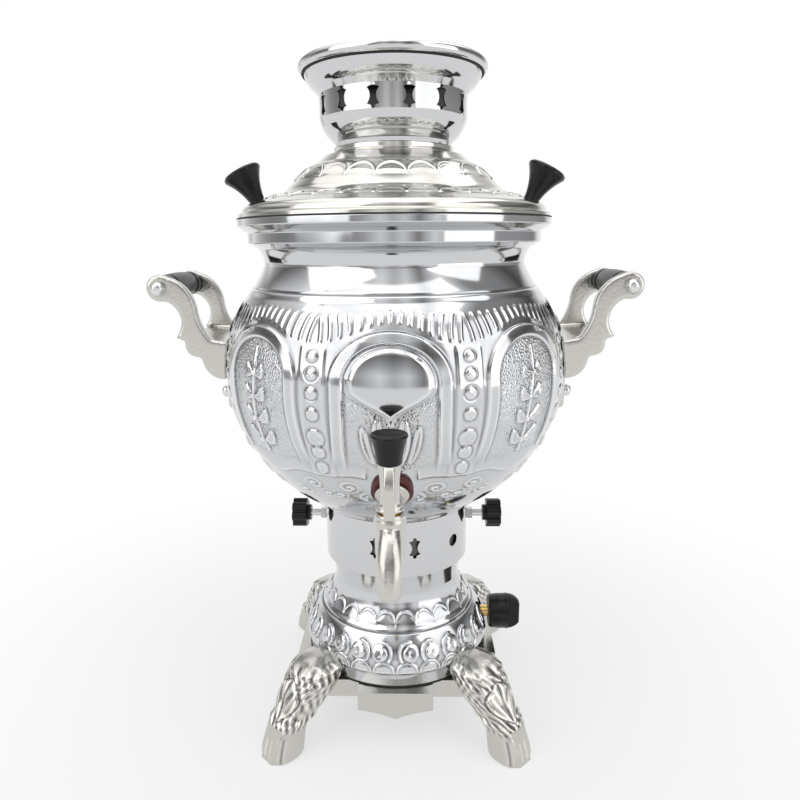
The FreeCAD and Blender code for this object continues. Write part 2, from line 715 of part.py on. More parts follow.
for index in range(4):
    angle = 90.0 * index
    screw = new_body("base_screw_%d" % (index + 1), z=STAND + " + wall",
                     x="base_screw_r * %d" % round(-math.sin(math.radians(angle))),
                     y="base_screw_r * %d" % round(math.cos(math.radians(angle))))
    revolve(screw, "screw_turned_%d" % (index + 1), [
        ("0", "-(wall + plate_thick + 1)"), ("small_screw_r", "-(wall + plate_thick + 1)"),
        ("small_screw_r", "0"), ("small_head_r", "0"),
        ("via", "small_head_r * 0.8", "1.4"), ("small_head_r * 0.3", "2.1"), ("0", "2.1")])

# shroud

shroud = new_body("shroud", z=SHROUD)
revolve(shroud, "shroud_sheet", sheet_loop([
    ("ring_in_r", "0"), ("shroud_r", "0"), ("shroud_r", "shroud_high")], "wall"))
doc.recompute()


def figure(sketch, middle, horn, waist, high):
    """A pierced figure: round lobes at both ends, two horns each, a narrow waist."""
    top = "(%s) + (%s)" % (middle, high)
    low = "(%s) - (%s)" % (middle, high)
    lobe = "(%s) * 0.3" % horn
    up_horn = "(%s) + (%s) * 0.62" % (middle, high)
    low_horn = "(%s) - (%s) * 0.62" % (middle, high)
    up_neck = "(%s) + (%s) * 0.76" % (middle, high)
    low_neck = "(%s) - (%s) * 0.76" % (middle, high)
    outline(sketch, [
        (lobe, up_neck), ("via", "0", top), ("-" + lobe, up_neck), ("-(%s)" % horn, up_horn),
        ("via", "-(%s)" % waist, middle), ("-(%s)" % horn, low_horn), ("-" + lobe, low_neck),
        ("via", "0", low), (lobe, low_neck), (horn, low_horn),
        ("via", waist, middle), (horn, up_horn)])


for side, sign in (("left", -1), ("right", 1)):
    figure_sketch = new_sketch(shroud, "figure_%s_outline" % side, "XZ_Plane", ("0", "0", "0"),
                               (0, 1, 0), "slot_turn * %d" % sign)
    figure(figure_sketch, "slot_z", "slot_half_wide", "slot_waist", "slot_half_high")
    pocket(shroud, "figure_" + side, figure_sketch, "shroud_r + 2", reverse=True)
    doc.recompute()
light_sketch = new_sketch(shroud, "light_outline", "XZ_Plane", ("0", "0", "0"), (0, 1, 0), "light_turn")
ring(light_sketch, "0", "light_z", "light_r")
pocket(shroud, "lighting_hole", light_sketch, "shroud_r + 2", reverse=True)
stud_hole = new_sketch(shroud, "stud_hole_outline", "YZ_Plane")
ring(stud_hole, "0", "thumb_z", "thumb_r + screw_play")
pocket(shroud, "stud_holes", stud_hole, "shroud_r * 2 + 4", middle=True)

for side, sign in (("left", -1), ("right", 1)):
    turn = "0" if sign > 0 else "180"
    nut = new_body("shroud_nut_" + side, z=SHROUD + " + thumb_z", axis=(0, 0, 1), angle=turn)
    nut_sketch = new_sketch(nut, "nut_outline_" + side, "YZ_Plane", ("0", "0", "shroud_r + gap"))
    ngon(nut_sketch, "thumb_nut_r", 6)
    ring(nut_sketch, "0", "0", "thumb_r + run_fit")
    pad(nut, "nut_" + side, nut_sketch, "thumb_nut_end - shroud_r - gap")
    stud = new_body("thumb_stud_" + side, z=SHROUD + " + thumb_z", axis=(0, 0, 1), angle=turn)
    revolve_across(stud, "stud_turned_" + side, [
        ("foot_ring_r + gap", "0"), ("foot_ring_r + gap", "thumb_r - 0.8"),
        ("foot_ring_r + gap + 0.8", "thumb_r"), ("thumb_knob_in + thumb_knob_long - 4", "thumb_r"),
        ("thumb_knob_in + thumb_knob_long - 4", "0")])
    star = new_body("thumb_knob_" + side, z=SHROUD + " + thumb_z", axis=(0, 0, 1), angle=turn)
    star_sketch = new_sketch(star, "star_outline_" + side, "YZ_Plane", ("0", "0", "thumb_knob_in + 3"))
    path = []
    for lobe in range(7):
        for part, reach in ((-0.36, 0.9), (0.0, 1.0), (0.36, 0.9), (0.5, 0.8)):
            angle = 2 * math.pi * (lobe + part) / 7
            spot = ("thumb_knob_r * %.4f" % (reach * math.cos(angle)),
                    "thumb_knob_r * %.4f" % (reach * math.sin(angle)))
            path.append(("via",) + spot if part in (0.0, 0.5) else spot)
    outline(star_sketch, path)
    pad(star, "star_" + side, star_sketch, "thumb_knob_long - 3")
    hub_sketch = new_sketch(star, "hub_outline_" + side, "YZ_Plane", ("0", "0", "thumb_knob_in"))
    ring(hub_sketch, "0", "0", "thumb_knob_r * 0.55")
    pad(star, "hub_" + side, hub_sketch, "3")
    doc.recompute()
    bore_sketch = new_sketch(star, "bore_outline_" + side, "YZ_Plane", ("0", "0", "thumb_knob_in"))
    ring(bore_sketch, "0", "0", "thumb_r + run_fit")
    pocket(star, "bore_" + side, bore_sketch, "thumb_knob_long - 4 + run_fit", reverse=True)

# gas train, heights above the stand plate

strap = new_body("burner_bracket", z=STAND)
strap_sketch = new_sketch(strap, "strap_outline", "XY_Plane")
outline(strap_sketch, [
    ("-strap_wide / 2", "-strap_half"), ("strap_wide / 2", "-strap_half"),
    ("strap_wide / 2", "strap_half"), ("-strap_wide / 2", "strap_half")])
ring(strap_sketch, "0", "strap_half - 5", "small_screw_r + screw_play")
ring(strap_sketch, "0", "-(strap_half - 5)", "small_screw_r + screw_play")
pad(strap, "strap", strap_sketch, "strap_thick")
post_sketch = new_sketch(strap, "post_outline", "XY_Plane", ("0", "0", "strap_thick"))
outline(post_sketch, [
    ("-strap_wide / 2", "-mix_r"), ("strap_wide / 2", "-mix_r"),
    ("strap_wide / 2", "mix_r"), ("-strap_wide / 2", "mix_r")])
pad(strap, "post", post_sketch, "gas_z - strap_thick - mix_r + 5")
doc.recompute()
saddle_sketch = new_sketch(strap, "saddle_outline", "YZ_Plane")
ring(saddle_sketch, "0", "gas_z", "mix_r + gap")
pocket(strap, "saddle", saddle_sketch, "strap_wide * 3", middle=True)

for side, sign in (("front", -1), ("rear", 1)):
    screw = new_body("strap_screw_" + side, z=STAND + " + strap_thick", y="(strap_half - 5) * %d" % sign)
    revolve(screw, "strap_screw_turned_" + side, [
        ("0", "-(strap_thick + plate_thick + 1)"), ("small_screw_r", "-(strap_thick + plate_thick + 1)"),
        ("small_screw_r", "0"), ("small_head_r", "0"),
        ("via", "small_head_r * 0.8", "1.4"), ("small_head_r * 0.3", "2.1"), ("0", "2.1")])

tube = doc.addObject("Part::Feature", "burner_tube")
tube.Label = "burner_tube"
PARTS.append(tube)


def swept(path_points, radius):
    """A round bar along a path with rounded corners."""
    wire = Part.makePolygon(path_points)
    way = unit(path_points[1] - path_points[0])
    profile = Part.Wire([Part.makeCircle(radius, path_points[0], way)])
    shell = Part.BRepOffsetAPI.MakePipeShell(wire)
    shell.setTransitionMode(2)
    shell.add(profile)
    shell.build()
    shell.makeSolid()
    return shell.shape()


tube_way = [FreeCAD.Vector(val("mix_start"), 0, val("gas_z")),
            FreeCAD.Vector(0, 0, val("gas_z")),
            FreeCAD.Vector(0, 0, val("riser_top"))]
bore_way = [tube_way[0] + FreeCAD.Vector(1, 0, 0), tube_way[1], tube_way[2] + FreeCAD.Vector(0, 0, 1)]
tube.Shape = swept(tube_way, val("mix_r")).cut(swept(bore_way, val("mix_r - mix_wall"))).removeSplitter()
place(tube, z=STAND)

head = new_body("burner_head", z=STAND + " + riser_top")
revolve(head, "head_turned", [
    ("mix_r + gap", "-6"), ("mix_r + gap + 2.5", "-6"), ("mix_r + gap + 2.5", "1"),
    ("via", "burner_r * 0.8", "3"), ("burner_r", "burner_high"), ("burner_r - 2.5", "burner_high"),
    ("via", "burner_r * 0.7", "5.6"), ("mix_r + 2", "3.6"), ("mix_r - mix_wall", "3.6"),
    ("mix_r - mix_wall", "0"), ("mix_r + gap", "0")])
cap = new_body("burner_cap", z=STAND + " + riser_top + burner_high")
revolve(cap, "cap_turned", [
    ("0", "0"), ("burner_r + 0.8", "0"), ("burner_r + 0.8", "cap_high * 0.6"),
    ("burner_r - 2", "cap_high"), ("0", "cap_high")])
doc.recompute()
port_sketch = new_sketch(cap, "port_outline", "XY_Plane", ("0", "0", "cap_high"))
ring(port_sketch, "burner_r * 0.72", "0", "1.1")
port = pocket(cap, "port", port_sketch, "cap_high + 1")
around(cap, "ports", [port], 12)

valve = new_body("gas_valve_body", z=STAND + " + gas_z")
block_sketch = new_sketch(valve, "block_outline", "YZ_Plane", ("0", "0", "valve_in_x"))
outline(block_sketch, [
    ("-valve_half", "-valve_half"), ("valve_half", "-valve_half"),
    ("valve_half", "valve_half"), ("-valve_half", "valve_half")])
pad(valve, "block", block_sketch, "valve_block_long")
bonnet_sketch = new_sketch(valve, "bonnet_outline", "YZ_Plane", ("0", "0", "valve_in_x"))
ring(bonnet_sketch, "0", "0", "bonnet_r")
pad(valve, "bonnet", bonnet_sketch, "bonnet_end - valve_in_x")
doc.recompute()
spindle_bore = new_sketch(valve, "spindle_bore_outline", "YZ_Plane", ("0", "0", "bonnet_end"))
ring(spindle_bore, "0", "0", "spindle_r + run_fit")
pocket(valve, "spindle_bore", spindle_bore, "bonnet_end - valve_in_x - 4")
way_bore = new_sketch(valve, "way_bore_outline", "YZ_Plane", ("0", "0", "valve_in_x"))
ring(way_bore, "0", "0", "1.5")
pocket(valve, "way_bore", way_bore, "6", reverse=True)
pipe_bore = new_sketch(valve, "pipe_bore_outline", "XZ_Plane", ("0", "0", "0"))
ring(pipe_bore, "pipe_x", "0", "1.5")
pocket(valve, "pipe_way", pipe_bore, "valve_half + 1")

jet = new_body("gas_jet", z=STAND + " + gas_z")
revolve_across(jet, "jet_turned", [
    ("valve_in_x - gap - jet_long", "0.5"), ("valve_in_x - gap - jet_long", "1.2"),
    ("valve_in_x - gap - 5", "jet_r"), ("valve_in_x - gap", "jet_r"), ("valve_in_x - gap", "0.5")])

spindle = new_body("gas_spindle", z=STAND + " + gas_z")
revolve_across(spindle, "spindle_turned", [
    ("valve_in_x + 5", "0"), ("valve_in_x + 5", "spindle_r"),
    ("gas_knob_in + gas_knob_long - 6", "spindle_r"), ("gas_knob_in + gas_knob_long - 6", "0")])
doc.recompute()
flat_sketch = new_sketch(spindle, "flat_outline", "YZ_Plane", ("0", "0", "gas_knob_in + 5"))
outline(flat_sketch, [("-4", "spindle_r * 0.6"), ("4", "spindle_r * 0.6"), ("4", "5"), ("-4", "5")])
pocket(spindle, "flat", flat_sketch, "gas_knob_long", reverse=True)

gas_knob = new_body("gas_knob", z=STAND + " + gas_z")
revolve_across(gas_knob, "gas_knob_turned", [
    ("gas_knob_in", "0"), ("gas_knob_in", "gas_knob_r * 0.86"),
    ("gas_knob_in + 1.2", "gas_knob_r * 0.95"), ("gas_knob_in + 8", "gas_knob_r"),
    ("gas_knob_in + gas_knob_long * 0.5", "gas_knob_r"),
    ("via", "gas_knob_in + gas_knob_long * 0.82", "gas_knob_r * 0.93"),
    ("gas_knob_in + gas_knob_long", "gas_knob_r * 0.66"), ("gas_knob_in + gas_knob_long", "0")])
doc.recompute()
knob_bore = new_sketch(gas_knob, "knob_bore_outline", "YZ_Plane", ("0", "0", "gas_knob_in"))
ring(knob_bore, "0", "0", "spindle_r + run_fit")
pocket(gas_knob, "knob_bore", knob_bore, "gas_knob_long - 6 + run_fit", reverse=True)
for name, role_shift, sign in (("near", "4.2", 1), ("far", "-4.2", -1)):
    side_sketch = new_sketch(gas_knob, "side_%s_outline" % name, "XZ_Plane", ("0", "0", role_shift))
    outline(side_sketch, [
        ("gas_knob_in + gas_knob_long * 0.62", "-(gas_knob_r + 2)"),
        ("gas_knob_in + gas_knob_long + 1", "-(gas_knob_r + 2)"),
        ("gas_knob_in + gas_knob_long + 1", "gas_knob_r + 2"),
        ("gas_knob_in + gas_knob_long * 0.62", "gas_knob_r + 2")])
    pocket(gas_knob, "side_" + name, side_sketch, "20", reverse=(sign > 0))
    doc.recompute()

pipe = doc.addObject("Part::Feature", "gas_pipe")
pipe.Label = "gas_pipe"
PARTS.append(pipe)
pipe_way = [FreeCAD.Vector(val("pipe_x"), val("valve_half + gap"), 0),
            FreeCAD.Vector(val("pipe_x"), val("pipe_mid_y"), 0),
            FreeCAD.Vector(0, val("pipe_bend_y"), 0),
            FreeCAD.Vector(0, val("inlet_in_y - gap"), 0)]
pipe.Shape = swept(pipe_way, val("pipe_r")).cut(swept(pipe_way, val("pipe_bore"))).removeSplitter()
place(pipe, z=STAND + " + gas_z")

inlet = new_body("gas_inlet_nozzle", z=STAND + " + gas_z")
barb = "inlet_seat_y + inlet_hex_long"
inlet_section = new_sketch(inlet, "inlet_section", "YZ_Plane")
outline(inlet_section, [
    ("inlet_in_y", "pipe_bore"), ("inlet_in_y", "inlet_stem_r"), (barb, "inlet_stem_r"),
    (barb, "hose_r"), (barb + " + inlet_out_long - 1.2", "hose_r"),
    (barb + " + inlet_out_long", "hose_r - 1.2"), (barb + " + inlet_out_long", "pipe_bore")])
inlet_turned = inlet.newObject("PartDesign::Revolution", "inlet_turned")
inlet_turned.Profile = inlet_section
inlet_turned.ReferenceAxis = (inlet_section, ["H_Axis"])
inlet_turned.Angle = 360
inlet.Tip = inlet_turned
hex_sketch = new_sketch(inlet, "inlet_hex_outline", "XZ_Plane", ("0", "0", "-inlet_seat_y"))
ngon(hex_sketch, "inlet_hex_r", 6)
ring(hex_sketch, "0", "0", "pipe_bore")
pad(inlet, "inlet_hex", hex_sketch, "inlet_hex_long", reverse=True)
inlet_nut = new_body("gas_inlet_nut", z=STAND + " + gas_z")
inlet_nut_sketch = new_sketch(inlet_nut, "inlet_nut_outline", "XZ_Plane", ("0", "0", "-(inlet_in_y + 1.5)"))
ngon(inlet_nut_sketch, "inlet_hex_r", 6)
ring(inlet_nut_sketch, "0", "0", "inlet_stem_r + run_fit")
pad(inlet_nut, "inlet_nut", inlet_nut_sketch, "4", reverse=True)

# tank, heights above the shroud's top edge

belly_path = [
    ("belly_low_r", "belly_low_z"), ("via", "belly_a_r", "belly_a_z"), ("belly_b_r", "belly_b_z"),
    ("via", "belly_wide_r", "belly_wide_z"), ("belly_c_r", "belly_c_z"),
    ("via", "shoulder_a_r", "shoulder_a_z"), ("shoulder_r", "shoulder_z")]
tank_path = [("tank_flange_r", "tank_lift"), ("tank_bead_r", "tank_lift")] + belly_path + [
    ("via", "neck_a_r", "neck_a_z"), ("neck_r", "neck_z"),
    ("via", "(neck_r + neck_b_r) / 2 - 1", "(neck_z + neck_b_z) / 2 + 1"), ("neck_b_r", "neck_b_z"),
    ("collar_r", "collar_low"), ("collar_r", "collar_top"), ("rim_r", "rim_low"),
    ("rim_r", "tank_high"), ("rim_in_r", "tank_high")]
tank = new_body("tank_shell", z=TANK)
revolve(tank, "tank_sheet", sheet_loop(tank_path, "wall"))
doc.recompute()
lug_hole = new_sketch(tank, "lug_hole_outline", "YZ_Plane")
ring(lug_hole, "0", "lug_screw_z", "lug_screw_r + screw_play")
pocket(tank, "lug_holes", lug_hole, "belly_wide_r * 2 + 10", middle=True)


def tap_sketch(body, name, lift):
    """A sketch square to the tank wall at the tap, lifted off the seat."""
    lean = math.radians(val("tap_tilt"))
    return new_sketch(body, name, "XZ_Plane",
                      ("0", "tap_seat_z - (%s) * %.5f" % (lift, math.sin(lean)),
                       "tap_seat_r + (%s) * %.5f" % (lift, math.cos(lean))), (1, 0, 0), "tap_tilt")


tap_hole = tap_sketch(tank, "tap_hole_outline", "8")
ring(tap_hole, "0", "0", "tap_hole_r")
pocket(tank, "tap_hole", tap_hole, "20")

floor = new_body("tank_floor", z=TANK)
revolve(floor, "floor_sheet", [
    ("flue_r + gap", "tank_lift + wall"), ("floor_r", "tank_lift + wall"),
    ("floor_r", "tank_lift + wall * 2"), ("flue_r + gap", "tank_lift + wall * 2")])
foot = new_body("tank_foot_ring", z=TANK)
revolve(foot, "foot_sheet", sheet_loop([
    ("foot_ring_r", "-foot_ring_deep"), ("foot_ring_r", "tank_lift + wall"),
    ("foot_ring_r - 8", "tank_lift + wall")], "wall"))
flue = new_body("flue_tube", z=TANK)
revolve(flue, "flue_sheet", [
    ("flue_r - wall", "tank_lift"), ("flue_flange_r", "tank_lift"),
    ("flue_flange_r", "tank_lift + wall"), ("flue_r", "tank_lift + wall"),
    ("flue_r", "flue_top"), ("flue_r - wall", "flue_top")])

# handles

for side, sign in (("left", -1), ("right", 1)):
    turn = "0" if sign > 0 else "180"
    bracket = new_body("handle_bracket_" + side, z=TANK, axis=(0, 0, 1), angle=turn)
    root_sketch = new_sketch(bracket, "root_outline_" + side, "XZ_Plane")
    outline(root_sketch, [
        ("belly_c_r - 8", "arm_foot_z - 3"), ("arm_foot_x", "arm_foot_z"),
        ("ledge_x", "ledge_z"), ("ledge_x - 6.8", "ledge_z - 2.2"),
        ("lobe_a_x + lobe_a_r", "lobe_a_z"), ("via", "lobe_a_x + lobe_a_r * 0.72", "lobe_a_z - lobe_a_r * 0.69"),
        ("lobe_a_x - 2", "lobe_a_z - lobe_a_r"), ("lobe_b_x + lobe_b_r", "lobe_b_z"),
        ("via", "lobe_b_x + lobe_b_r * 0.72", "lobe_b_z - lobe_b_r * 0.69"),
        ("lobe_b_x - 4", "lobe_b_z - lobe_b_r * 1.1"), ("belly_c_r - 8", "lobe_b_z - lobe_b_r * 1.1")])
    pad(bracket, "root_" + side, root_sketch, "arm_y * 2", middle=True)
    arms_sketch = new_sketch(bracket, "arm_outline_" + side, "XZ_Plane")
    outline(arms_sketch, [
        ("arm_foot_x", "arm_foot_z - 4"), ("arm_foot_x", "arm_foot_z"),
        ("via", "arm_in_x - 1.6", "(arm_foot_z + arm_in_z) / 2 + 3"), ("arm_in_x", "arm_in_z"),
        ("via", "arm_bend_x", "arm_bend_z"), ("eye_x - 1", "eye_z + eye_r * 0.9"),
        ("eye_x + 1", "eye_z"), ("eye_x - 1", "eye_z - eye_r * 0.9"),
        ("via", "arm_out_x", "arm_out_z"), ("ledge_x", "ledge_z"),
        ("ledge_x - 6.8", "ledge_z - 2.2")])
    pad(bracket, "arms_" + side, arms_sketch, "arm_y * 2", middle=True)
    eye_sketch = new_sketch(bracket, "eye_outline_" + side, "XZ_Plane")
    ring(eye_sketch, "eye_x", "eye_z", "eye_r")
    pad(bracket, "eyes_" + side, eye_sketch, "arm_y * 2", middle=True)
    lug_sketch = new_sketch(bracket, "lug_outline_" + side, "XZ_Plane")
    outline(lug_sketch, [
        ("belly_c_r - 8", "lobe_b_z"), ("belly_c_r - 8", "lug_low"), ("lug_x - 2", "lug_low"),
        ("lug_x", "lug_low + 2"), ("lug_x", "lobe_b_z")])
    pad(bracket, "lug_" + side, lug_sketch, "lug_half * 2", middle=True)
    doc.recompute()
    between = new_sketch(bracket, "between_outline_" + side, "XZ_Plane")
    outline(between, [
        ("arm_foot_x - 14", "arm_foot_z + 0.6"), ("arm_foot_x + 1", "arm_foot_z + 0.2"),
        ("ledge_x + 2", "ledge_z + 0.2"), ("eye_x + eye_r + 5", "ledge_z + 2"),
        ("eye_x + eye_r + 5", "eye_z + eye_r + 5"), ("arm_foot_x - 14", "eye_z + eye_r + 5")])
    pocket(bracket, "between_" + side, between, "(arm_y - arm_thick) * 2", middle=True)
    doc.recompute()
    groove(bracket, "seat_" + side, shifted(belly_path, "-gap") + [("20", "shoulder_z"), ("20", "belly_low_z")])
    doc.recompute()
    rod_hole = new_sketch(bracket, "rod_hole_outline_" + side, "XZ_Plane")
    ring(rod_hole, "eye_x", "eye_z", "rod_r + run_fit")
    pocket(bracket, "rod_hole_" + side, rod_hole, "arm_y * 2 + 4", middle=True)
    lug_bore = new_sketch(bracket, "lug_bore_outline_" + side, "YZ_Plane", ("0", "0", "lug_x + 5"))
    ring(lug_bore, "0", "lug_screw_z", "lug_screw_r + run_fit")
    pocket(bracket, "lug_bore_" + side, lug_bore, "25")
    grip = new_body("handle_grip_" + side, z=TANK + " + eye_z", x="eye_x * %d" % sign, axis=(1, 0, 0), angle="-90")
    half = "arm_y - arm_thick - gap"
    revolve(grip, "grip_turned_" + side, [
        ("rod_r + gap", "-(%s)" % half), ("grip_r * 0.86", "-(%s)" % half),
        ("grip_r", "-(%s) + 2" % half), ("grip_r", "-(%s) + 8" % half),
        ("grip_r - 1.4", "-(%s) + 9.2" % half), ("grip_r - 1.4", "-(%s) + 11" % half),
        ("grip_r", "-(%s) + 12.2" % half), ("via", "grip_r + 0.5", "0"),
        ("grip_r", "(%s) - 12.2" % half), ("grip_r - 1.4", "(%s) - 11" % half),
        ("grip_r - 1.4", "(%s) - 9.2" % half), ("grip_r", "(%s) - 8" % half),
        ("grip_r", "(%s) - 2" % half), ("grip_r * 0.86", half), ("rod_r + gap", half)])
    rod = new_body("handle_rod_" + side, z=TANK + " + eye_z", x="eye_x * %d" % sign, axis=(1, 0, 0), angle="-90")
    revolve(rod, "rod_turned_" + side, [
        ("0", "-(arm_y + 4.5)"), ("rod_r", "-(arm_y + 4.5)"), ("rod_r", "arm_y"), ("dome_r", "arm_y"),
        ("dome_r", "arm_y + dome_long * 0.45"), ("via", "dome_r * 0.76", "arm_y + dome_long * 0.84"),
        ("dome_r * 0.2", "arm_y + dome_long"), ("0", "arm_y + dome_long")])
    dome = new_body("handle_nut_" + side, z=TANK + " + eye_z", x="eye_x * %d" % sign, axis=(1, 0, 0), angle="-90")
    revolve(dome, "dome_turned_" + side, [
        ("rod_r + run_fit", "-arm_y"), ("rod_r + run_fit", "-(arm_y + 4.7)"), ("0", "-(arm_y + 4.7)"),
        ("0", "-(arm_y + dome_long)"), ("dome_r * 0.2", "-(arm_y + dome_long)"),
        ("via", "dome_r * 0.76", "-(arm_y + dome_long * 0.84)"),
        ("dome_r", "-(arm_y + dome_long * 0.45)"), ("dome_r", "-arm_y")])
    lug_screw = new_body("lug_screw_" + side, z=TANK + " + lug_screw_z", axis=(0, 0, 1), angle=turn)
    inner = "belly_b_r + 1.1"
    revolve_across(lug_screw, "lug_screw_turned_" + side, [
        (inner + " - 2.6", "0"), (inner + " - 2.6", "lug_nut_r"), (inner, "lug_nut_r"),
        (inner, "lug_screw_r"), ("lug_x + 4.2", "lug_screw_r"), ("lug_x + 4.2", "0")])
    lug_nut = new_body("lug_nut_" + side, z=TANK + " + lug_screw_z", axis=(0, 0, 1), angle=turn)
    revolve_across(lug_nut, "lug_nut_turned_" + side, [
        ("lug_x", "lug_screw_r + run_fit"), ("lug_x", "lug_nut_r"), ("lug_x + 2.6", "lug_nut_r"),
        ("via", "lug_x + 5", "lug_nut_r * 0.76"), ("lug_x + 5.9", "lug_nut_r * 0.2"), ("lug_x + 5.9", "0"),
        ("lug_x + 4.4", "0"), ("lug_x + 4.4", "lug_screw_r + run_fit")])

# tap

outer_gasket = new_body("tap_gasket_outer", z=TANK)
gasket_sketch = tap_sketch(outer_gasket, "gasket_outline", "gap + gasket_thick")
ring(gasket_sketch, "0", "0", "gasket_r")
ring(gasket_sketch, "0", "0", "tap_stub_r + gap")
pad(outer_gasket, "gasket_disc", gasket_sketch, "gasket_thick + 4", reverse=True)
doc.recompute()
groove(outer_gasket, "gasket_seat", shifted(belly_path, "-gap") + [("20", "shoulder_z"), ("20", "belly_low_z")])

inner_gasket = new_body("tap_gasket_inner", z=TANK)
inner_sketch = tap_sketch(inner_gasket, "inner_gasket_outline", "-(wall + gap + gasket_in_thick)")
ring(inner_sketch, "0", "0", "gasket_in_r")
ring(inner_sketch, "0", "0", "tap_stub_r + gap")
pad(inner_gasket, "inner_disc", inner_sketch, "gasket_in_thick + 4")
doc.recompute()
groove(inner_gasket, "inner_seat", shifted(belly_path, "wall + gap")
       + [("belly_wide_r + 20", "shoulder_z"), ("belly_wide_r + 20", "belly_low_z")])

back_nut = new_body("tap_back_nut", z=TANK)
back_sketch = tap_sketch(back_nut, "back_nut_outline", "-(wall + gap * 2 + gasket_in_thick)")
ngon(back_sketch, "tap_nut_r", 6)
ring(back_sketch, "0", "0", "tap_stub_r + run_fit")
pad(back_nut, "back_nut", back_sketch, "tap_nut_thick", reverse=True)

tap = new_body("tap_body", z=TANK)
flange_sketch = tap_sketch(tap, "flange_outline", "gap * 2 + gasket_thick")
ring(flange_sketch, "0", "0", "tap_flange_r")
pad(tap, "flange", flange_sketch, "tap_flange_thick")
stub_sketch = tap_sketch(tap, "stub_outline", "gap * 2 + gasket_thick + 1")
ring(stub_sketch, "0", "0", "tap_stub_r")
pad(tap, "stub", stub_sketch, "tap_stub_long", reverse=True)
arm_sketch = new_sketch(tap, "arm_tube_outline", "XZ_Plane", ("0", "way_z", "barrel_y"), (1, 0, 0), "arm_tube_tilt")
ring(arm_sketch, "0", "0", "arm_tube_r")
pad(tap, "arm_tube", arm_sketch, "arm_tube_long", reverse=True)
barrel_sketch = new_sketch(tap, "barrel_outline", "XY_Plane", ("0", "0", "barrel_low"))
ring(barrel_sketch, "0", "-barrel_y", "barrel_r")
pad(tap, "barrel", barrel_sketch, "barrel_top - barrel_low")
lip_sketch = new_sketch(tap, "lip_outline", "XY_Plane", ("0", "0", "barrel_top - 6"))
ring(lip_sketch, "0", "-barrel_y", "barrel_r + 0.8")
pad(tap, "lip", lip_sketch, "2.2")
doc.recompute()


def spout_section(name, height, forward, wide, deep, lean):
    sketch = new_sketch(tap, name, "XY_Plane", ("0", "-(%s)" % forward, height), (1, 0, 0), lean)
    path = []
    for step in range(8):
        angle = math.radians(45.0 * step)
        spot = ("(%s) * %.4f" % (wide, math.cos(angle)), "(%s) * %.4f" % (deep, math.sin(angle)))
        path.append(("via",) + spot if step % 2 else spot)
    outline(sketch, path)
    return sketch


spout_sections = [
    spout_section("spout_root", "way_z + 3", "barrel_y + 3.5", "spout_r * 0.8", "5.6", "-60"),
    spout_section("spout_bend", "spout_mid_z + 9", "spout_mid_y - 5.5", "spout_r * 0.93", "5.8", "-36"),
    spout_section("spout_mid", "spout_mid_z", "spout_mid_y", "spout_r", "6.2", "-14"),
    spout_section("spout_tip", "spout_tip_z", "spout_tip_y", "spout_tip_r", "5.2", "-8"),
]
spout = tap.newObject("PartDesign::AdditiveLoft", "spout")
spout.Profile = spout_sections[0]
spout.Sections = spout_sections[1:]
spout.Ruled = False
tap.Tip = spout
doc.recompute()
mouth_sketch = new_sketch(tap, "mouth_outline", "XY_Plane",
                          ("0", "-(spout_tip_y + 0.4)", "spout_tip_z - 2"), (1, 0, 0), "-14")
ring(mouth_sketch, "0", "0", "tap_bore")
pocket(tap, "mouth", mouth_sketch, "spout_mid_z - spout_tip_z + 2", reverse=True)
doc.recompute()
throat_sketch = new_sketch(tap, "throat_outline", "XZ_Plane", ("0", "way_z", "barrel_y"), (1, 0, 0), "37")
ring(throat_sketch, "0", "0", "tap_bore")
pocket(tap, "throat", throat_sketch, "20", reverse=True)
doc.recompute()
plug_bore = new_sketch(tap, "plug_bore_outline", "XY_Plane", ("0", "0", "barrel_top"))
ring(plug_bore, "0", "-barrel_y", "plug_r + run_fit")
pocket(tap, "plug_bore", plug_bore, "barrel_top - barrel_low + 1")
way_sketch = new_sketch(tap, "way_outline", "XZ_Plane", ("0", "way_z", "barrel_y"), (1, 0, 0), "arm_tube_tilt")
ring(way_sketch, "0", "0", "tap_bore * 0.92")
pocket(tap, "way", way_sketch, "arm_tube_long + 1")
doc.recompute()
stub_bore = tap_sketch(tap, "stub_bore_outline", "-(tap_stub_long + 1)")
ring(stub_bore, "0", "0", "tap_bore")
pocket(tap, "stub_bore", stub_bore, "tap_stub_long + 4 + gasket_thick", reverse=True)

plug = new_body("tap_plug", z=TANK, y="-barrel_y")
revolve(plug, "plug_turned", [
    ("0", "barrel_low - plug_tail"), ("tail_r", "barrel_low - plug_tail"),
    ("tail_r", "barrel_low + 0.4"), ("plug_r", "barrel_low + 0.4"), ("plug_r", "barrel_top + 1"),
    ("tail_r", "barrel_top + 1"), ("tail_r", "barrel_top + 9"), ("0", "barrel_top + 9")])
doc.recompute()
cross_sketch = new_sketch(plug, "cross_outline", "YZ_Plane")
ring(cross_sketch, "0", "way_z", "tap_bore * 0.95")
pocket(plug, "cross_way", cross_sketch, "plug_r * 2 + 4", middle=True)
washer = new_body("tap_washer", z=TANK, y="-barrel_y")
revolve(washer, "washer_turned", [
    ("tail_r + run_fit", "barrel_low - 1.1"), ("barrel_r - 1.2", "barrel_low - 1.1"),
    ("barrel_r - 1.2", "barrel_low - 0.1"), ("tail_r + run_fit", "barrel_low - 0.1")])
tail_nut = new_body("tap_tail_nut", z=TANK, y="-barrel_y")
tail_sketch = new_sketch(tail_nut, "tail_nut_outline", "XY_Plane", ("0", "0", "barrel_low - 1.2"))
ngon(tail_sketch, "5.2", 6)
ring(tail_sketch, "0", "0", "tail_r + run_fit")
pad(tail_nut, "tail_nut", tail_sketch, "2.6", reverse=True)

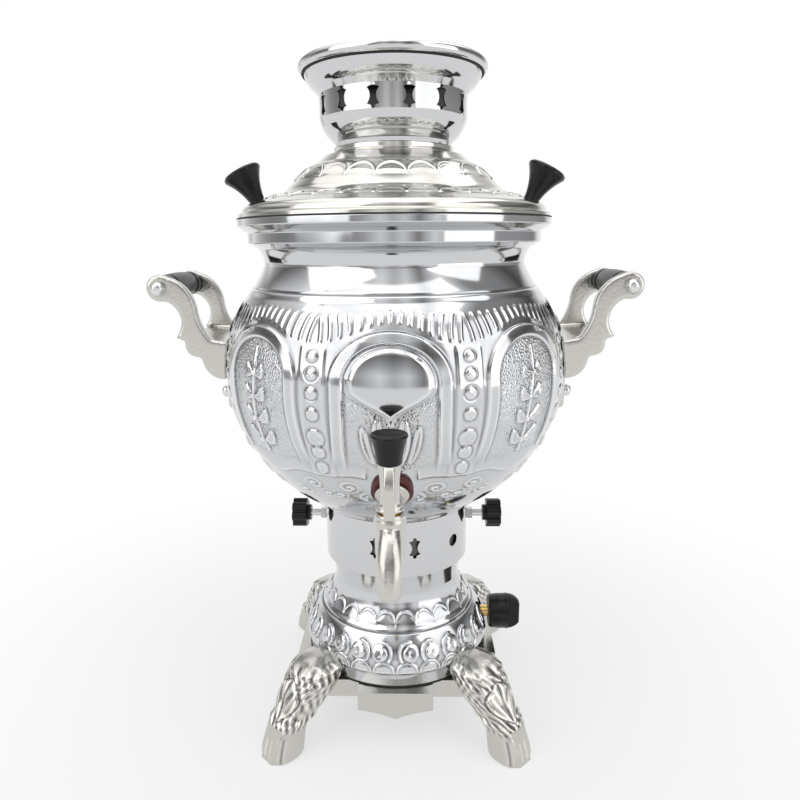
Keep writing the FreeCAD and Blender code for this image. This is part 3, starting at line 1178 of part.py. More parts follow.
key = new_body("tap_key", z=TANK, y="-barrel_y")
revolve(key, "key_neck", [
    ("tail_r + run_fit", "barrel_top + 1.2"), ("barrel_r - 0.4", "barrel_top + 1.2"),
    ("barrel_r - 0.4", "barrel_top + 3.4"), ("key_neck_r", "barrel_top + 4.6"),
    ("key_neck_r", "key_top - 14"), ("0", "key_top - 14"), ("0", "barrel_top + 9.2"),
    ("tail_r + run_fit", "barrel_top + 9.2")])


def cup_section(name, height, wide, deep, forward):
    sketch = new_sketch(key, name, "XY_Plane", ("0", "-(%s)" % forward, height))
    path = []
    for step in range(8):
        angle = math.radians(45.0 * step)
        spot = ("(%s) * %.4f" % (wide, math.cos(angle)), "(%s) * %.4f" % (deep, math.sin(angle)))
        path.append(("via",) + spot if step % 2 else spot)
    outline(sketch, path)
    return sketch


cup_sections = [cup_section("cup_low", "key_top - 20", "key_neck_r - 0.2", "key_neck_r - 0.2", "0.2"),
                cup_section("cup_mid", "key_top - 9", "key_cup_half * 0.82", "key_neck_r", "1"),
                cup_section("cup_top", "key_top", "key_cup_half", "tap_knob_foot", "1.6")]
cup = key.newObject("PartDesign::AdditiveLoft", "cup")
cup.Profile = cup_sections[0]
cup.Sections = cup_sections[1:]
cup.Ruled = False
key.Tip = cup
doc.recompute()
leaf_sketch = new_sketch(key, "leaf_outline", "YZ_Plane")
outline(leaf_sketch, [
    ("-4", "key_top - 4"), ("via", "-(key_leaf_y - barrel_y) + 3.5", "key_top - 10"),
    ("-(key_leaf_y - barrel_y)", "key_top - 20"), ("-(key_leaf_y - barrel_y)", "key_leaf_low + 6"),
    ("via", "-(key_leaf_y - barrel_y) + 0.6", "key_leaf_low + 2"),
    ("-(key_leaf_y - barrel_y) + 3", "key_leaf_low"),
    ("-(key_leaf_y - barrel_y) + 3.6", "key_leaf_low + 3"),
    ("-(key_leaf_y - barrel_y) + 3.6", "barrel_top + 5"), ("-4", "key_top - 24")])
pad(key, "leaf", leaf_sketch, "key_leaf_half * 2", middle=True)

tap_knob = new_body("tap_knob", z=TANK + " + key_top + gap", y="-(barrel_y + 1.6)")
revolve(tap_knob, "tap_knob_turned", [
    ("0", "0"), ("tap_knob_foot - 0.6", "0"), ("tap_knob_foot", "0.8"),
    ("via", "(tap_knob_foot + tap_knob_top) / 2 + 0.2", "tap_knob_high * 0.5"),
    ("tap_knob_top", "tap_knob_high - 0.8"), ("tap_knob_top - 0.8", "tap_knob_high"),
    ("via", "tap_knob_top * 0.55", "tap_knob_high - 1.7"), ("0", "tap_knob_high - 2.2")])

# lid

lid_path = [
    ("lid_skirt_r", "-lid_skirt_deep"), ("lid_skirt_r", "0"), ("lid_r", "0"), ("lid_r", "lid_edge"),
    ("lid_r - 2.6", "lid_edge + 1.2"), ("via", "lid_r - 4.2", "lid_edge + 4.8"),
    ("lid_shoulder_r", "lid_shoulder_z"), ("lid_flat_r", "lid_flat_z"),
    ("via", "(lid_flat_r + lid_cone_r) / 2 - 0.6", "(lid_flat_z + lid_cone_z) / 2 - 1"),
    ("lid_cone_r", "lid_cone_z"), ("lid_step_r", "lid_step_z"),
    ("via", "(lid_step_r + lid_ledge_r) / 2 + 0.4", "(lid_step_z + lid_ledge_z) / 2 + 0.5"),
    ("lid_ledge_r", "lid_ledge_z"), ("lid_crest_r", "lid_crest_z"),
    ("lid_collar_r", "lid_collar_z"), ("lid_collar_r", "lid_high"), ("spigot_r + gap", "lid_high")]
lid = new_body("lid_shell", z=LID)
revolve(lid, "lid_sheet", sheet_loop(lid_path, "thin_wall"))
doc.recompute()
steam_sketch = new_sketch(lid, "steam_outline", "XY_Plane", ("0", "0", "lid_cone_z + 4"))
for sign in (-1, 1):
    angle = math.radians(val("steam_turn")) * sign
    ring(steam_sketch, "steam_r * %.5f" % math.sin(angle), "-steam_r * %.5f" % math.cos(angle), "steam_hole")
steam = pocket(lid, "steam_pair", steam_sketch, "lid_cone_z")
around(lid, "steam_holes", [steam], 8)
doc.recompute()
for side, sign in (("left", -1), ("right", 1)):
    turn = "0" if sign > 0 else "180"
    lean = math.radians(val("lid_knob_tilt"))
    screw_hole = new_sketch(lid, "knob_hole_outline_" + side, "XY_Plane",
                            ("lid_knob_r * %d" % sign, "0", "lid_knob_z"), (0, 1, 0), "lid_knob_tilt * %d" % sign)
    ring(screw_hole, "0", "0", "small_screw_r + screw_play")
    pocket(lid, "knob_hole_" + side, screw_hole, "9")
    doc.recompute()
    lid_knob = new_body("lid_knob_" + side, z=LID, axis=(0, 0, 1), angle=turn)
    knob_section = new_sketch(lid_knob, "lid_knob_section_" + side, "XZ_Plane",
                              ("lid_knob_r", "lid_knob_z", "0"), (0, 0, 1), "-lid_knob_tilt")
    outline(knob_section, [
        ("small_screw_r + run_fit", "-3"), ("lid_knob_foot - 0.2", "-3"), ("lid_knob_foot", "1"),
        ("via", "(lid_knob_foot + lid_knob_top) / 2 - 0.9", "lid_knob_long * 0.52"),
        ("lid_knob_top", "lid_knob_long - 3"), ("lid_knob_top", "lid_knob_long - 1.2"),
        ("lid_knob_top - 1.2", "lid_knob_long"), ("via", "lid_knob_top * 0.5", "lid_knob_long - 1.6"),
        ("0", "lid_knob_long - 2"), ("0", "14"), ("small_screw_r + run_fit", "14")])
    turned = lid_knob.newObject("PartDesign::Revolution", "lid_knob_turned_" + side)
    turned.Profile = knob_section
    turned.ReferenceAxis = (knob_section, ["V_Axis"])
    turned.Angle = 360
    lid_knob.Tip = turned
    doc.recompute()
    groove(lid_knob, "lid_knob_seat_" + side, shifted([
        ("lid_r", "lid_shoulder_z - 3"), ("lid_shoulder_r", "lid_shoulder_z"),
        ("lid_flat_r", "lid_flat_z"), ("lid_cone_r", "lid_cone_z")], "-gap")
        + [("30", "lid_cone_z"), ("30", "-5"), ("lid_r", "-5")])
    knob_screw = new_body("lid_knob_screw_" + side, z=LID + " + lid_knob_z", x="lid_knob_r * %d" % sign,
                          axis=(0, 1, 0), angle="lid_knob_tilt * %d" % sign)
    revolve(knob_screw, "knob_screw_turned_" + side, [
        ("0", "-6"), ("small_head_r", "-6"), ("small_head_r", "-3.6"), ("small_screw_r", "-3.6"),
        ("small_screw_r", "13.5"), ("0", "13.5")])

# crown

crown = new_body("crown_shell", z=CROWN)
revolve(crown, "crown_sheet", sheet_loop([
    ("spigot_r", "-spigot_deep"), ("spigot_r", "0"), ("crown_neck_r", "0"), ("crown_neck_r + 0.6", "2.6"),
    ("via", "crown_bowl_r", "crown_bowl_z"), ("crown_low_r", "crown_low_z"),
    ("crown_band_r", "crown_band_low"), ("crown_band_r", "crown_band_top"),
    ("crown_ring_r", "crown_ring_z"),
    ("via", "(crown_ring_r + crown_flare_r) / 2 + 0.6", "(crown_ring_z + crown_flare_z) / 2 - 1"),
    ("crown_flare_r", "crown_flare_z"),
    ("via", "crown_rim_r", "(crown_flare_z + crown_high) / 2"), ("crown_flare_r", "crown_high")], "thin_wall"))
doc.recompute()
slot_sketch = new_sketch(crown, "slot_outline", "XZ_Plane", ("0", "0", "0"), (0, 1, 0), "360 / 28")
figure(slot_sketch, "crown_slot_z", "crown_slot_horn", "crown_slot_waist", "crown_slot_high")
slot = pocket(crown, "slot", slot_sketch, "crown_band_r + 2", reverse=True)
doc.recompute()
around(crown, "slots", [slot], 14)

doc.recompute()
failed = []
for item in doc.Objects:
    if "Invalid" in item.State or "Error" in item.State:
        failed.append(item.Name)
for piece in PARTS:
    if piece.Shape.isNull() or not piece.Shape.isValid():
        failed.append(piece.Label + " shape")
    elif len(piece.Shape.Solids) != 1:
        failed.append("%s has %d solids" % (piece.Label, len(piece.Shape.Solids)))
if failed:
    raise RuntimeError("not built: " + ", ".join(failed))
for piece in PARTS:
    box = piece.Shape.BoundBox
    print("%-22s vol %10.1f  x %7.1f %7.1f  y %7.1f %7.1f  z %7.1f %7.1f" % (
        piece.Label, piece.Shape.Volume, box.XMin, box.XMax, box.YMin, box.YMax, box.ZMin, box.ZMax))
    piece.Shape.exportStep("parts/%s.step" % piece.Label)
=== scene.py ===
import json
import math

import bmesh
import bpy
import numpy as np
from mathutils import Matrix, Vector


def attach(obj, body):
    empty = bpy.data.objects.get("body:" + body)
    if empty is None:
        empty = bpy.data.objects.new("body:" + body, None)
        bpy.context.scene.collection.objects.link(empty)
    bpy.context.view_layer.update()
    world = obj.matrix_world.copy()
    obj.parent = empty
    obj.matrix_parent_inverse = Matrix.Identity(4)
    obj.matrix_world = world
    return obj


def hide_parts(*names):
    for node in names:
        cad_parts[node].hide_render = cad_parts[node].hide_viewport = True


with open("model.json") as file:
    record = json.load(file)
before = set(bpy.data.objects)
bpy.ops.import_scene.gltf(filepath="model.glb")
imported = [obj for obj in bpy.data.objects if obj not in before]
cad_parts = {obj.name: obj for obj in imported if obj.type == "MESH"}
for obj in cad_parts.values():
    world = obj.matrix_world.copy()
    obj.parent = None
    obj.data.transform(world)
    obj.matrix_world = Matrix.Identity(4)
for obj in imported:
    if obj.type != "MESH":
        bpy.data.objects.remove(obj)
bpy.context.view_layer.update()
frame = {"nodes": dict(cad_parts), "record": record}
MM = 0.001
TINY = 1e-12

# the two colours that a mix node takes, and its result, by number
MIX_A = 6
MIX_B = 7
MIX_RESULT = 2

# materials
WHITE = (1, 1, 1, 1)
CHROME_COLOR = (0.60, 0.61, 0.625)
PIERCED_COLOR = (0.61, 0.615, 0.625)
LID_COLOR = (0.66, 0.645, 0.61)
CAST_COLOR = (0.60, 0.585, 0.55)
# painted shade for the faces of the pierced sheets that look toward the axis, and their roughness there
INSIDE_SHADE_COLOR = (0.035, 0.034, 0.033, 1)
INSIDE_ROUGH = 0.5
INWARD_LIMIT = -0.002
# painted shade in the hollows and painted highlight on the crests of the reliefs, as shares of the base
# colour
PAINTED_SHADE_SHARE = (0.30, 0.30, 0.31)
PAINTED_HIGHLIGHT_SHARE = (1.45, 1.45, 1.44)
LEVEL_TONE = 0.61
PIERCED_NODES = ("crown_shell", "shroud")


def new_material(name, color, metal, rough):
    """A material of one colour, metalness and roughness."""
    made = bpy.data.materials.new(name)
    made.use_nodes = True
    shader = made.node_tree.nodes["Principled BSDF"]
    shader.inputs["Base Color"].default_value = (*color, 1.0)
    shader.inputs["Metallic"].default_value = metal
    shader.inputs["Roughness"].default_value = rough
    return made


def paint_shade_and_highlight(made):
    """Paints shade into hollows and highlights onto crests, by the vertex attribute that the relief stores.
    """
    tree = made.node_tree
    nodes = tree.nodes
    shader = nodes["Principled BSDF"]
    color = shader.inputs["Base Color"].default_value
    dark = [part * share for part, share in zip(color, PAINTED_SHADE_SHARE)]
    light = [min(1, part * share) for part, share in zip(color, PAINTED_HIGHLIGHT_SHARE)]
    flag = nodes.new("ShaderNodeAttribute")
    flag.attribute_name = "tone"
    tint = nodes.new("ShaderNodeMix")
    tint.data_type = "RGBA"
    tint.inputs[MIX_A].default_value = (*dark, 1)
    tint.inputs[MIX_B].default_value = (*light, 1)
    spread = nodes.new("ShaderNodeMapRange")
    spread.inputs["From Min"].default_value = -1.0
    spread.inputs["From Max"].default_value = 1.0
    tree.links.new(flag.outputs["Fac"], spread.inputs["Value"])
    ramp = nodes.new("ShaderNodeValToRGB")
    ramp.color_ramp.elements[0].color = (0, 0, 0, 1)
    ramp.color_ramp.elements[1].color = WHITE
    middle = ramp.color_ramp.elements.new(0.5)
    middle.color = (LEVEL_TONE, LEVEL_TONE, LEVEL_TONE, 1)
    tree.links.new(spread.outputs[0], ramp.inputs[0])
    tree.links.new(ramp.outputs[0], tint.inputs[0])
    tree.links.new(tint.outputs[MIX_RESULT], shader.inputs["Base Color"])
    return made


def add_bump(made, scale, strength, distance, detail=3.0, kind="noise", mask=None):
    """A procedural bump in object coordinates, optionally only where a vertex attribute says so."""
    tree = made.node_tree
    nodes = tree.nodes
    links = tree.links
    where = nodes.new("ShaderNodeTexCoord")
    if kind == "cells":
        pattern = nodes.new("ShaderNodeTexVoronoi")
        pattern.inputs["Scale"].default_value = scale
        out = pattern.outputs["Distance"]
    else:
        pattern = nodes.new("ShaderNodeTexNoise")
        pattern.inputs["Scale"].default_value = scale
        pattern.inputs["Detail"].default_value = detail
        out = pattern.outputs["Fac"]
    links.new(where.outputs["Object"], pattern.inputs["Vector"])
    if mask:
        flag = nodes.new("ShaderNodeAttribute")
        flag.attribute_name = mask
        out = math_node(tree, "MULTIPLY", out, flag.outputs["Fac"])
    raised = nodes.new("ShaderNodeBump")
    raised.inputs["Strength"].default_value = strength
    raised.inputs["Distance"].default_value = distance
    links.new(out, raised.inputs["Height"])
    shader = nodes["Principled BSDF"]
    before = shader.inputs["Normal"].links
    if before:
        links.new(before[0].from_socket, raised.inputs["Normal"])
    links.new(raised.outputs["Normal"], shader.inputs["Normal"])
    return made


def math_node(tree, operation, first, second, clamp=False):
    """The output of one operation on two sockets."""
    made = tree.nodes.new("ShaderNodeMath")
    made.operation = operation
    made.use_clamp = clamp
    tree.links.new(first, made.inputs[0])
    tree.links.new(second, made.inputs[1])
    return made.outputs[0]


def paint_inside_shade(made):
    """Faces that look toward the axis are painted dark as shade, and made rougher."""
    tree = made.node_tree
    nodes = tree.nodes
    links = tree.links
    where = nodes.new("ShaderNodeTexCoord")
    facing = nodes.new("ShaderNodeNewGeometry")
    flat = nodes.new("ShaderNodeVectorMath")
    flat.operation = "MULTIPLY"
    flat.inputs[1].default_value = (1, 1, 0)
    links.new(where.outputs["Object"], flat.inputs[0])
    inward = nodes.new("ShaderNodeVectorMath")
    inward.operation = "DOT_PRODUCT"
    links.new(flat.outputs[0], inward.inputs[0])
    links.new(facing.outputs["True Normal"], inward.inputs[1])
    dark = nodes.new("ShaderNodeMath")
    dark.operation = "LESS_THAN"
    dark.inputs[1].default_value = INWARD_LIMIT
    links.new(inward.outputs["Value"], dark.inputs[0])
    shader = nodes["Principled BSDF"]
    tint = nodes.new("ShaderNodeMix")
    tint.data_type = "RGBA"
    tint.inputs[MIX_A].default_value = shader.inputs["Base Color"].default_value
    tint.inputs[MIX_B].default_value = INSIDE_SHADE_COLOR
    links.new(dark.outputs[0], tint.inputs[0])
    links.new(tint.outputs[MIX_RESULT], shader.inputs["Base Color"])
    rough = nodes.new("ShaderNodeMapRange")
    rough.inputs["To Min"].default_value = shader.inputs["Roughness"].default_value
    rough.inputs["To Max"].default_value = INSIDE_ROUGH
    links.new(dark.outputs[0], rough.inputs["Value"])
    links.new(rough.outputs[0], shader.inputs["Roughness"])
    return made


def cast_metal(name):
    """A plated casting with a fine grain."""
    made = new_material(name, CAST_COLOR, metal=1.0, rough=0.24)
    return add_bump(made, scale=420.0, strength=0.25, distance=0.0006)


CHROME = new_material("chrome_plain", CHROME_COLOR, metal=1.0, rough=0.09)
add_bump(CHROME, scale=26.0, strength=0.10, distance=0.0035, detail=1.0)

BASE_CHROME = new_material("chrome_sheet", CHROME_COLOR, metal=1.0, rough=0.11)
add_bump(BASE_CHROME, scale=40.0, strength=0.10, distance=0.0025, detail=1.0)
paint_shade_and_highlight(BASE_CHROME)

TANK_CHROME = new_material("chrome_embossed", CHROME_COLOR, metal=1.0, rough=0.10)
add_bump(TANK_CHROME, scale=620.0, strength=0.9, distance=0.0006, kind="cells", mask="stipple")
add_bump(TANK_CHROME, scale=22.0, strength=0.14, distance=0.0040, detail=1.5)
paint_shade_and_highlight(TANK_CHROME)

LID_CHROME = new_material("nickel_sheet", LID_COLOR, metal=1.0, rough=0.13)
add_bump(LID_CHROME, scale=30.0, strength=0.08, distance=0.003, detail=1.0)
paint_shade_and_highlight(LID_CHROME)

# crown and shroud: painted shade on the faces that look toward the axis
PIERCED = paint_inside_shade(new_material("chrome_pierced", PIERCED_COLOR, metal=1.0, rough=0.09))
LEG_CAST = paint_shade_and_highlight(cast_metal("nickel_carved"))
CAST = cast_metal("nickel_casting")
STEEL = new_material("zinc_steel", (0.72, 0.72, 0.72), metal=1.0, rough=0.25)
# inner sheets dark as painted shade, so that insides seen through the slots look dark
INNER_SHADE_LOOK = new_material("inner_sheet", (0.12, 0.118, 0.112), metal=1.0, rough=0.45)
BLACK = new_material("black_phenolic", (0.006, 0.006, 0.0065), metal=0.0, rough=0.30)
BLACK.node_tree.nodes["Principled BSDF"].inputs["Specular IOR Level"].default_value = 0.32
# painted shadow for the gaps between sheets
GAP_SHADOW_LOOK = new_material("shadow_gap", (0.012, 0.012, 0.012), metal=0.0, rough=0.7)
BRASS = new_material("brass", (0.80, 0.55, 0.22), metal=1.0, rough=0.22)
IRON = new_material("cast_iron", (0.05, 0.05, 0.055), metal=0.3, rough=0.6)
FIBRE = new_material("red_fibre", (0.10, 0.014, 0.011), metal=0.0, rough=0.45)

SLOT_LOOKS = {"sheet": CHROME, "lid_sheet": LID_CHROME, "inner_sheet": INNER_SHADE_LOOK, "cast": CAST,
              "steel": STEEL, "black": BLACK, "brass": BRASS, "iron": IRON, "fibre": FIBRE}
for part in frame["record"]["subparts"]:
    node = frame["nodes"][part["node"]]
    look = SLOT_LOOKS[part["material_slot"]]
    if part["node"] in PIERCED_NODES:
        look = PIERCED
    if len(node.material_slots) == 0:
        node.data.materials.append(look)
    for place in node.material_slots:
        place.material = look

# outlines, grids and new pieces, in millimetres


def build_mesh(name, points, faces, look, body, replaced=()):
    """A new smooth piece from an array of points in millimetres and a list of faces."""
    mesh = bpy.data.meshes.new(name)
    mesh.from_pydata((points * MM).tolist(), [], faces)
    mesh.update()
    mesh.polygons.foreach_set("use_smooth", [True] * len(mesh.polygons))
    made = bpy.data.objects.new(name, mesh)
    bpy.context.scene.collection.objects.link(made)
    made.data.materials.append(look)
    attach(made, body)
    if replaced:
        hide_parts(*replaced)
    return made


def arc_points(first, middle, last, step):
    """Points on the arc through three places, without the last."""
    (ax, ay), (bx, by), (cx, cy) = first, middle, last
    a_square = ax**2 + ay**2
    b_square = bx**2 + by**2
    c_square = cx**2 + cy**2
    twice_area = 2 * (ax * (by - cy) + bx * (cy - ay) + cx * (ay - by))
    centre_x = (a_square * (by - cy) + b_square * (cy - ay) + c_square * (ay - by)) / twice_area
    centre_y = (a_square * (cx - bx) + b_square * (ax - cx) + c_square * (bx - ax)) / twice_area
    radius = math.hypot(ax - centre_x, ay - centre_y)
    start = math.atan2(ay - centre_y, ax - centre_x)
    between = (math.atan2(by - centre_y, bx - centre_x) - start) % (2 * math.pi)
    sweep = (math.atan2(cy - centre_y, cx - centre_x) - start) % (2 * math.pi)
    if between > sweep:
        sweep -= 2 * math.pi
    count = max(3, int(abs(sweep) * radius / step))
    return [(centre_x + radius * math.cos(start + sweep * i / count),
             centre_y + radius * math.sin(start + sweep * i / count)) for i in range(count)]


def trace(path, step, base=0.0):
    """An open path of corners and ("via", r, z) places as close points, raised by base."""
    out = []
    corners = []
    for item in path:
        if item[0] == "via":
            corners[-1][1] = item[1:]
        else:
            corners.append([item, None])
    for index in range(len(corners) - 1):
        first, via = corners[index]
        last = corners[index + 1][0]
        if via is None:
            length = math.hypot(last[0] - first[0], last[1] - first[1])
            count = max(1, int(length / step))
            out += [(first[0] + (last[0] - first[0]) * i / count,
                     first[1] + (last[1] - first[1]) * i / count) for i in range(count)]
        else:
            out += arc_points(first, via, last, step)
    out.append(tuple(corners[-1][0]))
    line = np.array(out)
    line[:, 1] += base
    return line


def normals_of(line):
    """Unit normals to the left of a line of points."""
    way = np.gradient(line, axis=0)
    way /= np.linalg.norm(way, axis=1)[:, None] + TINY
    return np.stack([-way[:, 1], way[:, 0]], axis=1)


def ring_points(r, z, angles, centre=(0.0, 0.0)):
    """Places at radius r and height z round an upright axis, where angle 0 looks to the front."""
    x = centre[0] + r * np.sin(angles)
    y = centre[1] - r * np.cos(angles)
    return np.stack([x, y, z * np.ones_like(x)], axis=-1).reshape(-1, 3)


def grid_faces(rows, columns):
    """Quads between the rows of a grid that closes round its columns."""
    i = np.arange(rows - 1)[:, None]
    j = np.arange(columns)[None, :]
    after = (j + 1) % columns
    a = i * columns + j
    b = i * columns + after
    c = (i + 1) * columns + after
    d = (i + 1) * columns + j
    return np.stack([a, b, c, d], axis=-1).reshape(-1, 4).tolist()


def closed_faces(rows, columns):
    """Such a grid whose last row also joins its first."""
    last = (rows - 1) * columns
    j = np.arange(columns)
    after = (j + 1) % columns
    close = np.stack([last + j, last + after, after, j], axis=-1)
    return grid_faces(rows, columns) + close.tolist()


def capped_faces(rows, columns):
    """Such a grid with one face over each open end."""
    first_cap = list(range(columns - 1, -1, -1))
    last_cap = list(range((rows - 1) * columns, rows * columns))
    return grid_faces(rows, columns) + [first_cap, last_cap]


def tone_of(lift, reach=4, depth=0.45):
    """Crests and hollows of a relief: how far each place stands above its surroundings."""
    padded = np.pad(lift, ((reach, reach), (0, 0)), mode="edge")
    mean = np.zeros_like(lift)
    count = 0
    for i in range(-reach, reach + 1):
        rows = padded[reach + i:reach + i + lift.shape[0]]
        for j in range(-reach, reach + 1, 2):
            mean += np.roll(rows, j, axis=1)
            count += 1
    return np.clip((lift - mean / count) / depth, -1, 1)


def store(made, key, values):
    """Keeps a number for each vertex as an attribute, and 0 for those past the values."""
    layer = made.data.attributes.new(key, "FLOAT", "POINT")
    full = np.zeros(len(made.data.vertices), dtype=np.float32)
    full[:values.size] = values.reshape(-1)
    layer.data.foreach_set("value", full)


# the inner face keeps one row in this many of the outer face's
INNER_STEP = 6


def spun_sheet(name, line, wall, segments, look, body, replaced, relief, tone_depth=0.45):
    """A turned sheet: outer face with relief, inner face plain, closed at both ends."""
    angles = np.linspace(0, 2 * np.pi, segments, endpoint=False)
    outward = -normals_of(line)
    rows = len(line)
    lift, flags = relief(line, angles)
    outer = ring_points(line[:, :1] + outward[:, :1] * lift, line[:, 1:] + outward[:, 1:] * lift, angles)
    keep = sorted(set(list(range(0, rows, INNER_STEP)) + [rows - 1]))
    inside = (line[keep] - outward[keep] * wall)[::-1]
    inner = ring_points(inside[:, :1], inside[:, 1:], angles)
    points = np.concatenate([outer, inner])
    faces = closed_faces(rows + len(keep), segments)
    made = build_mesh(name, points, faces, look, body, replaced=replaced)
    for key, field in flags.items():
        store(made, key, field)
    # the tone sets the painted shade in hollows and the painted highlight on crests
    store(made, "tone", tone_of(lift, depth=tone_depth))
    return made


def cut_openings(made, inside):
    """Deletes the faces whose middle lies in an opening of the sheet."""
    mesh = made.data
    centre = np.zeros(len(mesh.polygons) * 3)
    mesh.polygons.foreach_get("center", centre)
    centre = centre.reshape(-1, 3) / MM
    gone = np.nonzero(inside(centre[:, 0], centre[:, 1], centre[:, 2]))[0]
    work = bmesh.new()
    work.from_mesh(mesh)
    work.faces.ensure_lookup_table()
    bmesh.ops.delete(work, geom=[work.faces[i] for i in gone], context="FACES")
    work.to_mesh(mesh)
    work.free()


def step_up(low, high, value):
    """A smooth step from 0 at low to 1 at high."""
    t = np.clip((value - low) / (high - low), 0, 1)
    return t * t * (3 - 2 * t)


def window(value, low, full, leave, end):
    """Rises from 0 to 1 between low and full, and falls back between leave and end."""
    return step_up(low, full, value) * (1 - step_up(leave, end, value))


def bump(distance, width):
    """A smooth ridge round zero distance."""
    return np.exp(-(distance / width) ** 2)


def dome_of(away, size):
    """A dome of height 1 and of the given radius."""
    return np.sqrt(np.clip(1 - (away / size) ** 2, 0, 1))


def leaf_depth(along, across, half):
    """How far inside a leaf a place lies, where along is 0 at its foot and 1 at its tip."""
    return half * np.sqrt(np.clip(4 * along * (1 - along), 0, 1)) - np.abs(across)


def scallops(turn, r, v, count, wide, high, ridge, shift=0.5):
    """A row of raised crescents whose cusps meet at v = 0; shift is a share of their pitch."""
    pitch = 2 * np.pi / count
    u = (np.mod(turn + shift * pitch, pitch) - pitch / 2) * r
    crest = high * dome_of(u, pitch * r / 2)
    line = bump(v - crest, wide)
    inside = step_up(0, 1.2, crest - v) * step_up(-1.0, 1.5, v)
    swell = np.sin(np.clip(v / np.maximum(crest, 0.5), 0, 1) * np.pi)
    return ridge * line + ridge * 0.55 * inside * swell


# camera at the photograph's angle, in metres
SENSOR_MM = 36.0
LENS_MM = 30.15
FRAME_SHIFT = 0.0055
CAMERA_TURN = math.radians(1.4)
CAMERA_PITCH = math.radians(13.33)
CAMERA_ROLL = math.radians(-0.47)
CAMERA_DISTANCE = 0.5
CAMERA_HEIGHT = 0.363
NEAREST_SEEN = 0.02


def place_camera():
    data = bpy.data.cameras.new("camera")
    camera = bpy.data.objects.new("camera", data)
    bpy.context.scene.collection.objects.link(camera)
    bpy.context.scene.camera = camera
    data.sensor_width = SENSOR_MM
    data.lens = LENS_MM
    data.shift_x = FRAME_SHIFT
    data.clip_start = NEAREST_SEEN
    camera.location = (math.sin(CAMERA_TURN) * CAMERA_DISTANCE,
                       -math.cos(CAMERA_TURN) * CAMERA_DISTANCE, CAMERA_HEIGHT)
    aim = (Matrix.Rotation(CAMERA_TURN, 4, "Z") @ Matrix.Rotation(math.pi / 2 - CAMERA_PITCH, 4, "X")
           @ Matrix.Rotation(CAMERA_ROLL, 4, "Z"))
    camera.rotation_euler = aim.to_euler()


place_camera()
bpy.context.scene.view_settings.view_transform = "Standard"

# world: white behind the object, a room in its reflections, and soft light on the rest
SOFT_LIGHT = 0.55
ROOM_BY_HEIGHT = [(0.0, 0.8), (0.50, 0.8), (0.56, 0.95), (0.62, 0.5), (0.68, 0.22), (0.76, 0.7),
                  (0.88, 0.95), (1.0, 0.9)]
ROOM_ACROSS = [(0.0, 0.35), (0.08, 0.8), (0.15, 1.3), (0.21, 0.3), (0.33, 0.6), (0.43, 1.1), (0.50, 0.7),
               (0.57, 1.0), (0.66, 0.3), (0.76, 1.2), (0.84, 0.35), (1.0, 0.5)]
WHITE_BEHIND = [(0.0, 0.0), (0.84, 0.0), (0.95, 1.0), (1.0, 1.0)]


def ramp_of(tree, socket, stops):
    """A grey ramp along one part of the direction looked in, which runs from -1 to 1."""
    spread = tree.nodes.new("ShaderNodeMapRange")
    spread.inputs["From Min"].default_value = -1.0
    spread.inputs["From Max"].default_value = 1.0
    tree.links.new(socket, spread.inputs["Value"])
    made = tree.nodes.new("ShaderNodeValToRGB")
    elements = made.color_ramp.elements
    for end in (0, -1):
        at, level = stops[end]
        elements[end].position = at
        elements[end].color = (level, level, level, 1)
    for at, level in stops[1:-1]:
        elements.new(at).color = (level, level, level, 1)
    tree.links.new(spread.outputs[0], made.inputs[0])
    return made.outputs[0]


def background(tree, strength, color=None):
    """A background of one strength, and of one colour where that is given."""
    made = tree.nodes.new("ShaderNodeBackground")
    made.inputs["Strength"].default_value = strength
    if color:
        made.inputs["Color"].default_value = color
    return made


def mix_shaders(tree, share, first, second):
    """Two shaders mixed by a socket that holds the share of the second."""
    made = tree.nodes.new("ShaderNodeMixShader")
    tree.links.new(share, made.inputs[0])
    tree.links.new(first.outputs[0], made.inputs[1])
    tree.links.new(second.outputs[0], made.inputs[2])
    return made


def build_world():
    world = bpy.data.worlds.new("studio")
    bpy.context.scene.world = world
    world.use_nodes = True
    tree = world.node_tree
    tree.nodes.clear()
    ray = tree.nodes.new("ShaderNodeLightPath")
    where = tree.nodes.new("ShaderNodeTexCoord")
    split = tree.nodes.new("ShaderNodeSeparateXYZ")
    tree.links.new(where.outputs["Generated"], split.inputs[0])

    room = tree.nodes.new("ShaderNodeMix")
    room.data_type = "RGBA"
    room.blend_type = "MULTIPLY"
    room.inputs[0].default_value = 1.0
    tree.links.new(ramp_of(tree, split.outputs["Z"], ROOM_BY_HEIGHT), room.inputs[MIX_A])
    tree.links.new(ramp_of(tree, split.outputs["X"], ROOM_ACROSS), room.inputs[MIX_B])
    seen = tree.nodes.new("ShaderNodeMix")
    seen.data_type = "RGBA"
    tree.links.new(ramp_of(tree, split.outputs["Y"], WHITE_BEHIND), seen.inputs[0])
    tree.links.new(room.outputs[MIX_RESULT], seen.inputs[MIX_A])
    seen.inputs[MIX_B].default_value = WHITE
    reflected = background(tree, 1.0)
    tree.links.new(seen.outputs[MIX_RESULT], reflected.inputs["Color"])

    sharp = math_node(tree, "MAXIMUM", ray.outputs["Is Glossy Ray"], ray.outputs["Is Transmission Ray"])
    around = mix_shaders(tree, sharp, background(tree, SOFT_LIGHT), reflected)
    whole = mix_shaders(tree, ray.outputs["Is Camera Ray"], around, background(tree, 1.0, WHITE))
    out = tree.nodes.new("ShaderNodeOutputWorld")
    tree.links.new(whole.outputs[0], out.inputs["Surface"])


build_world()

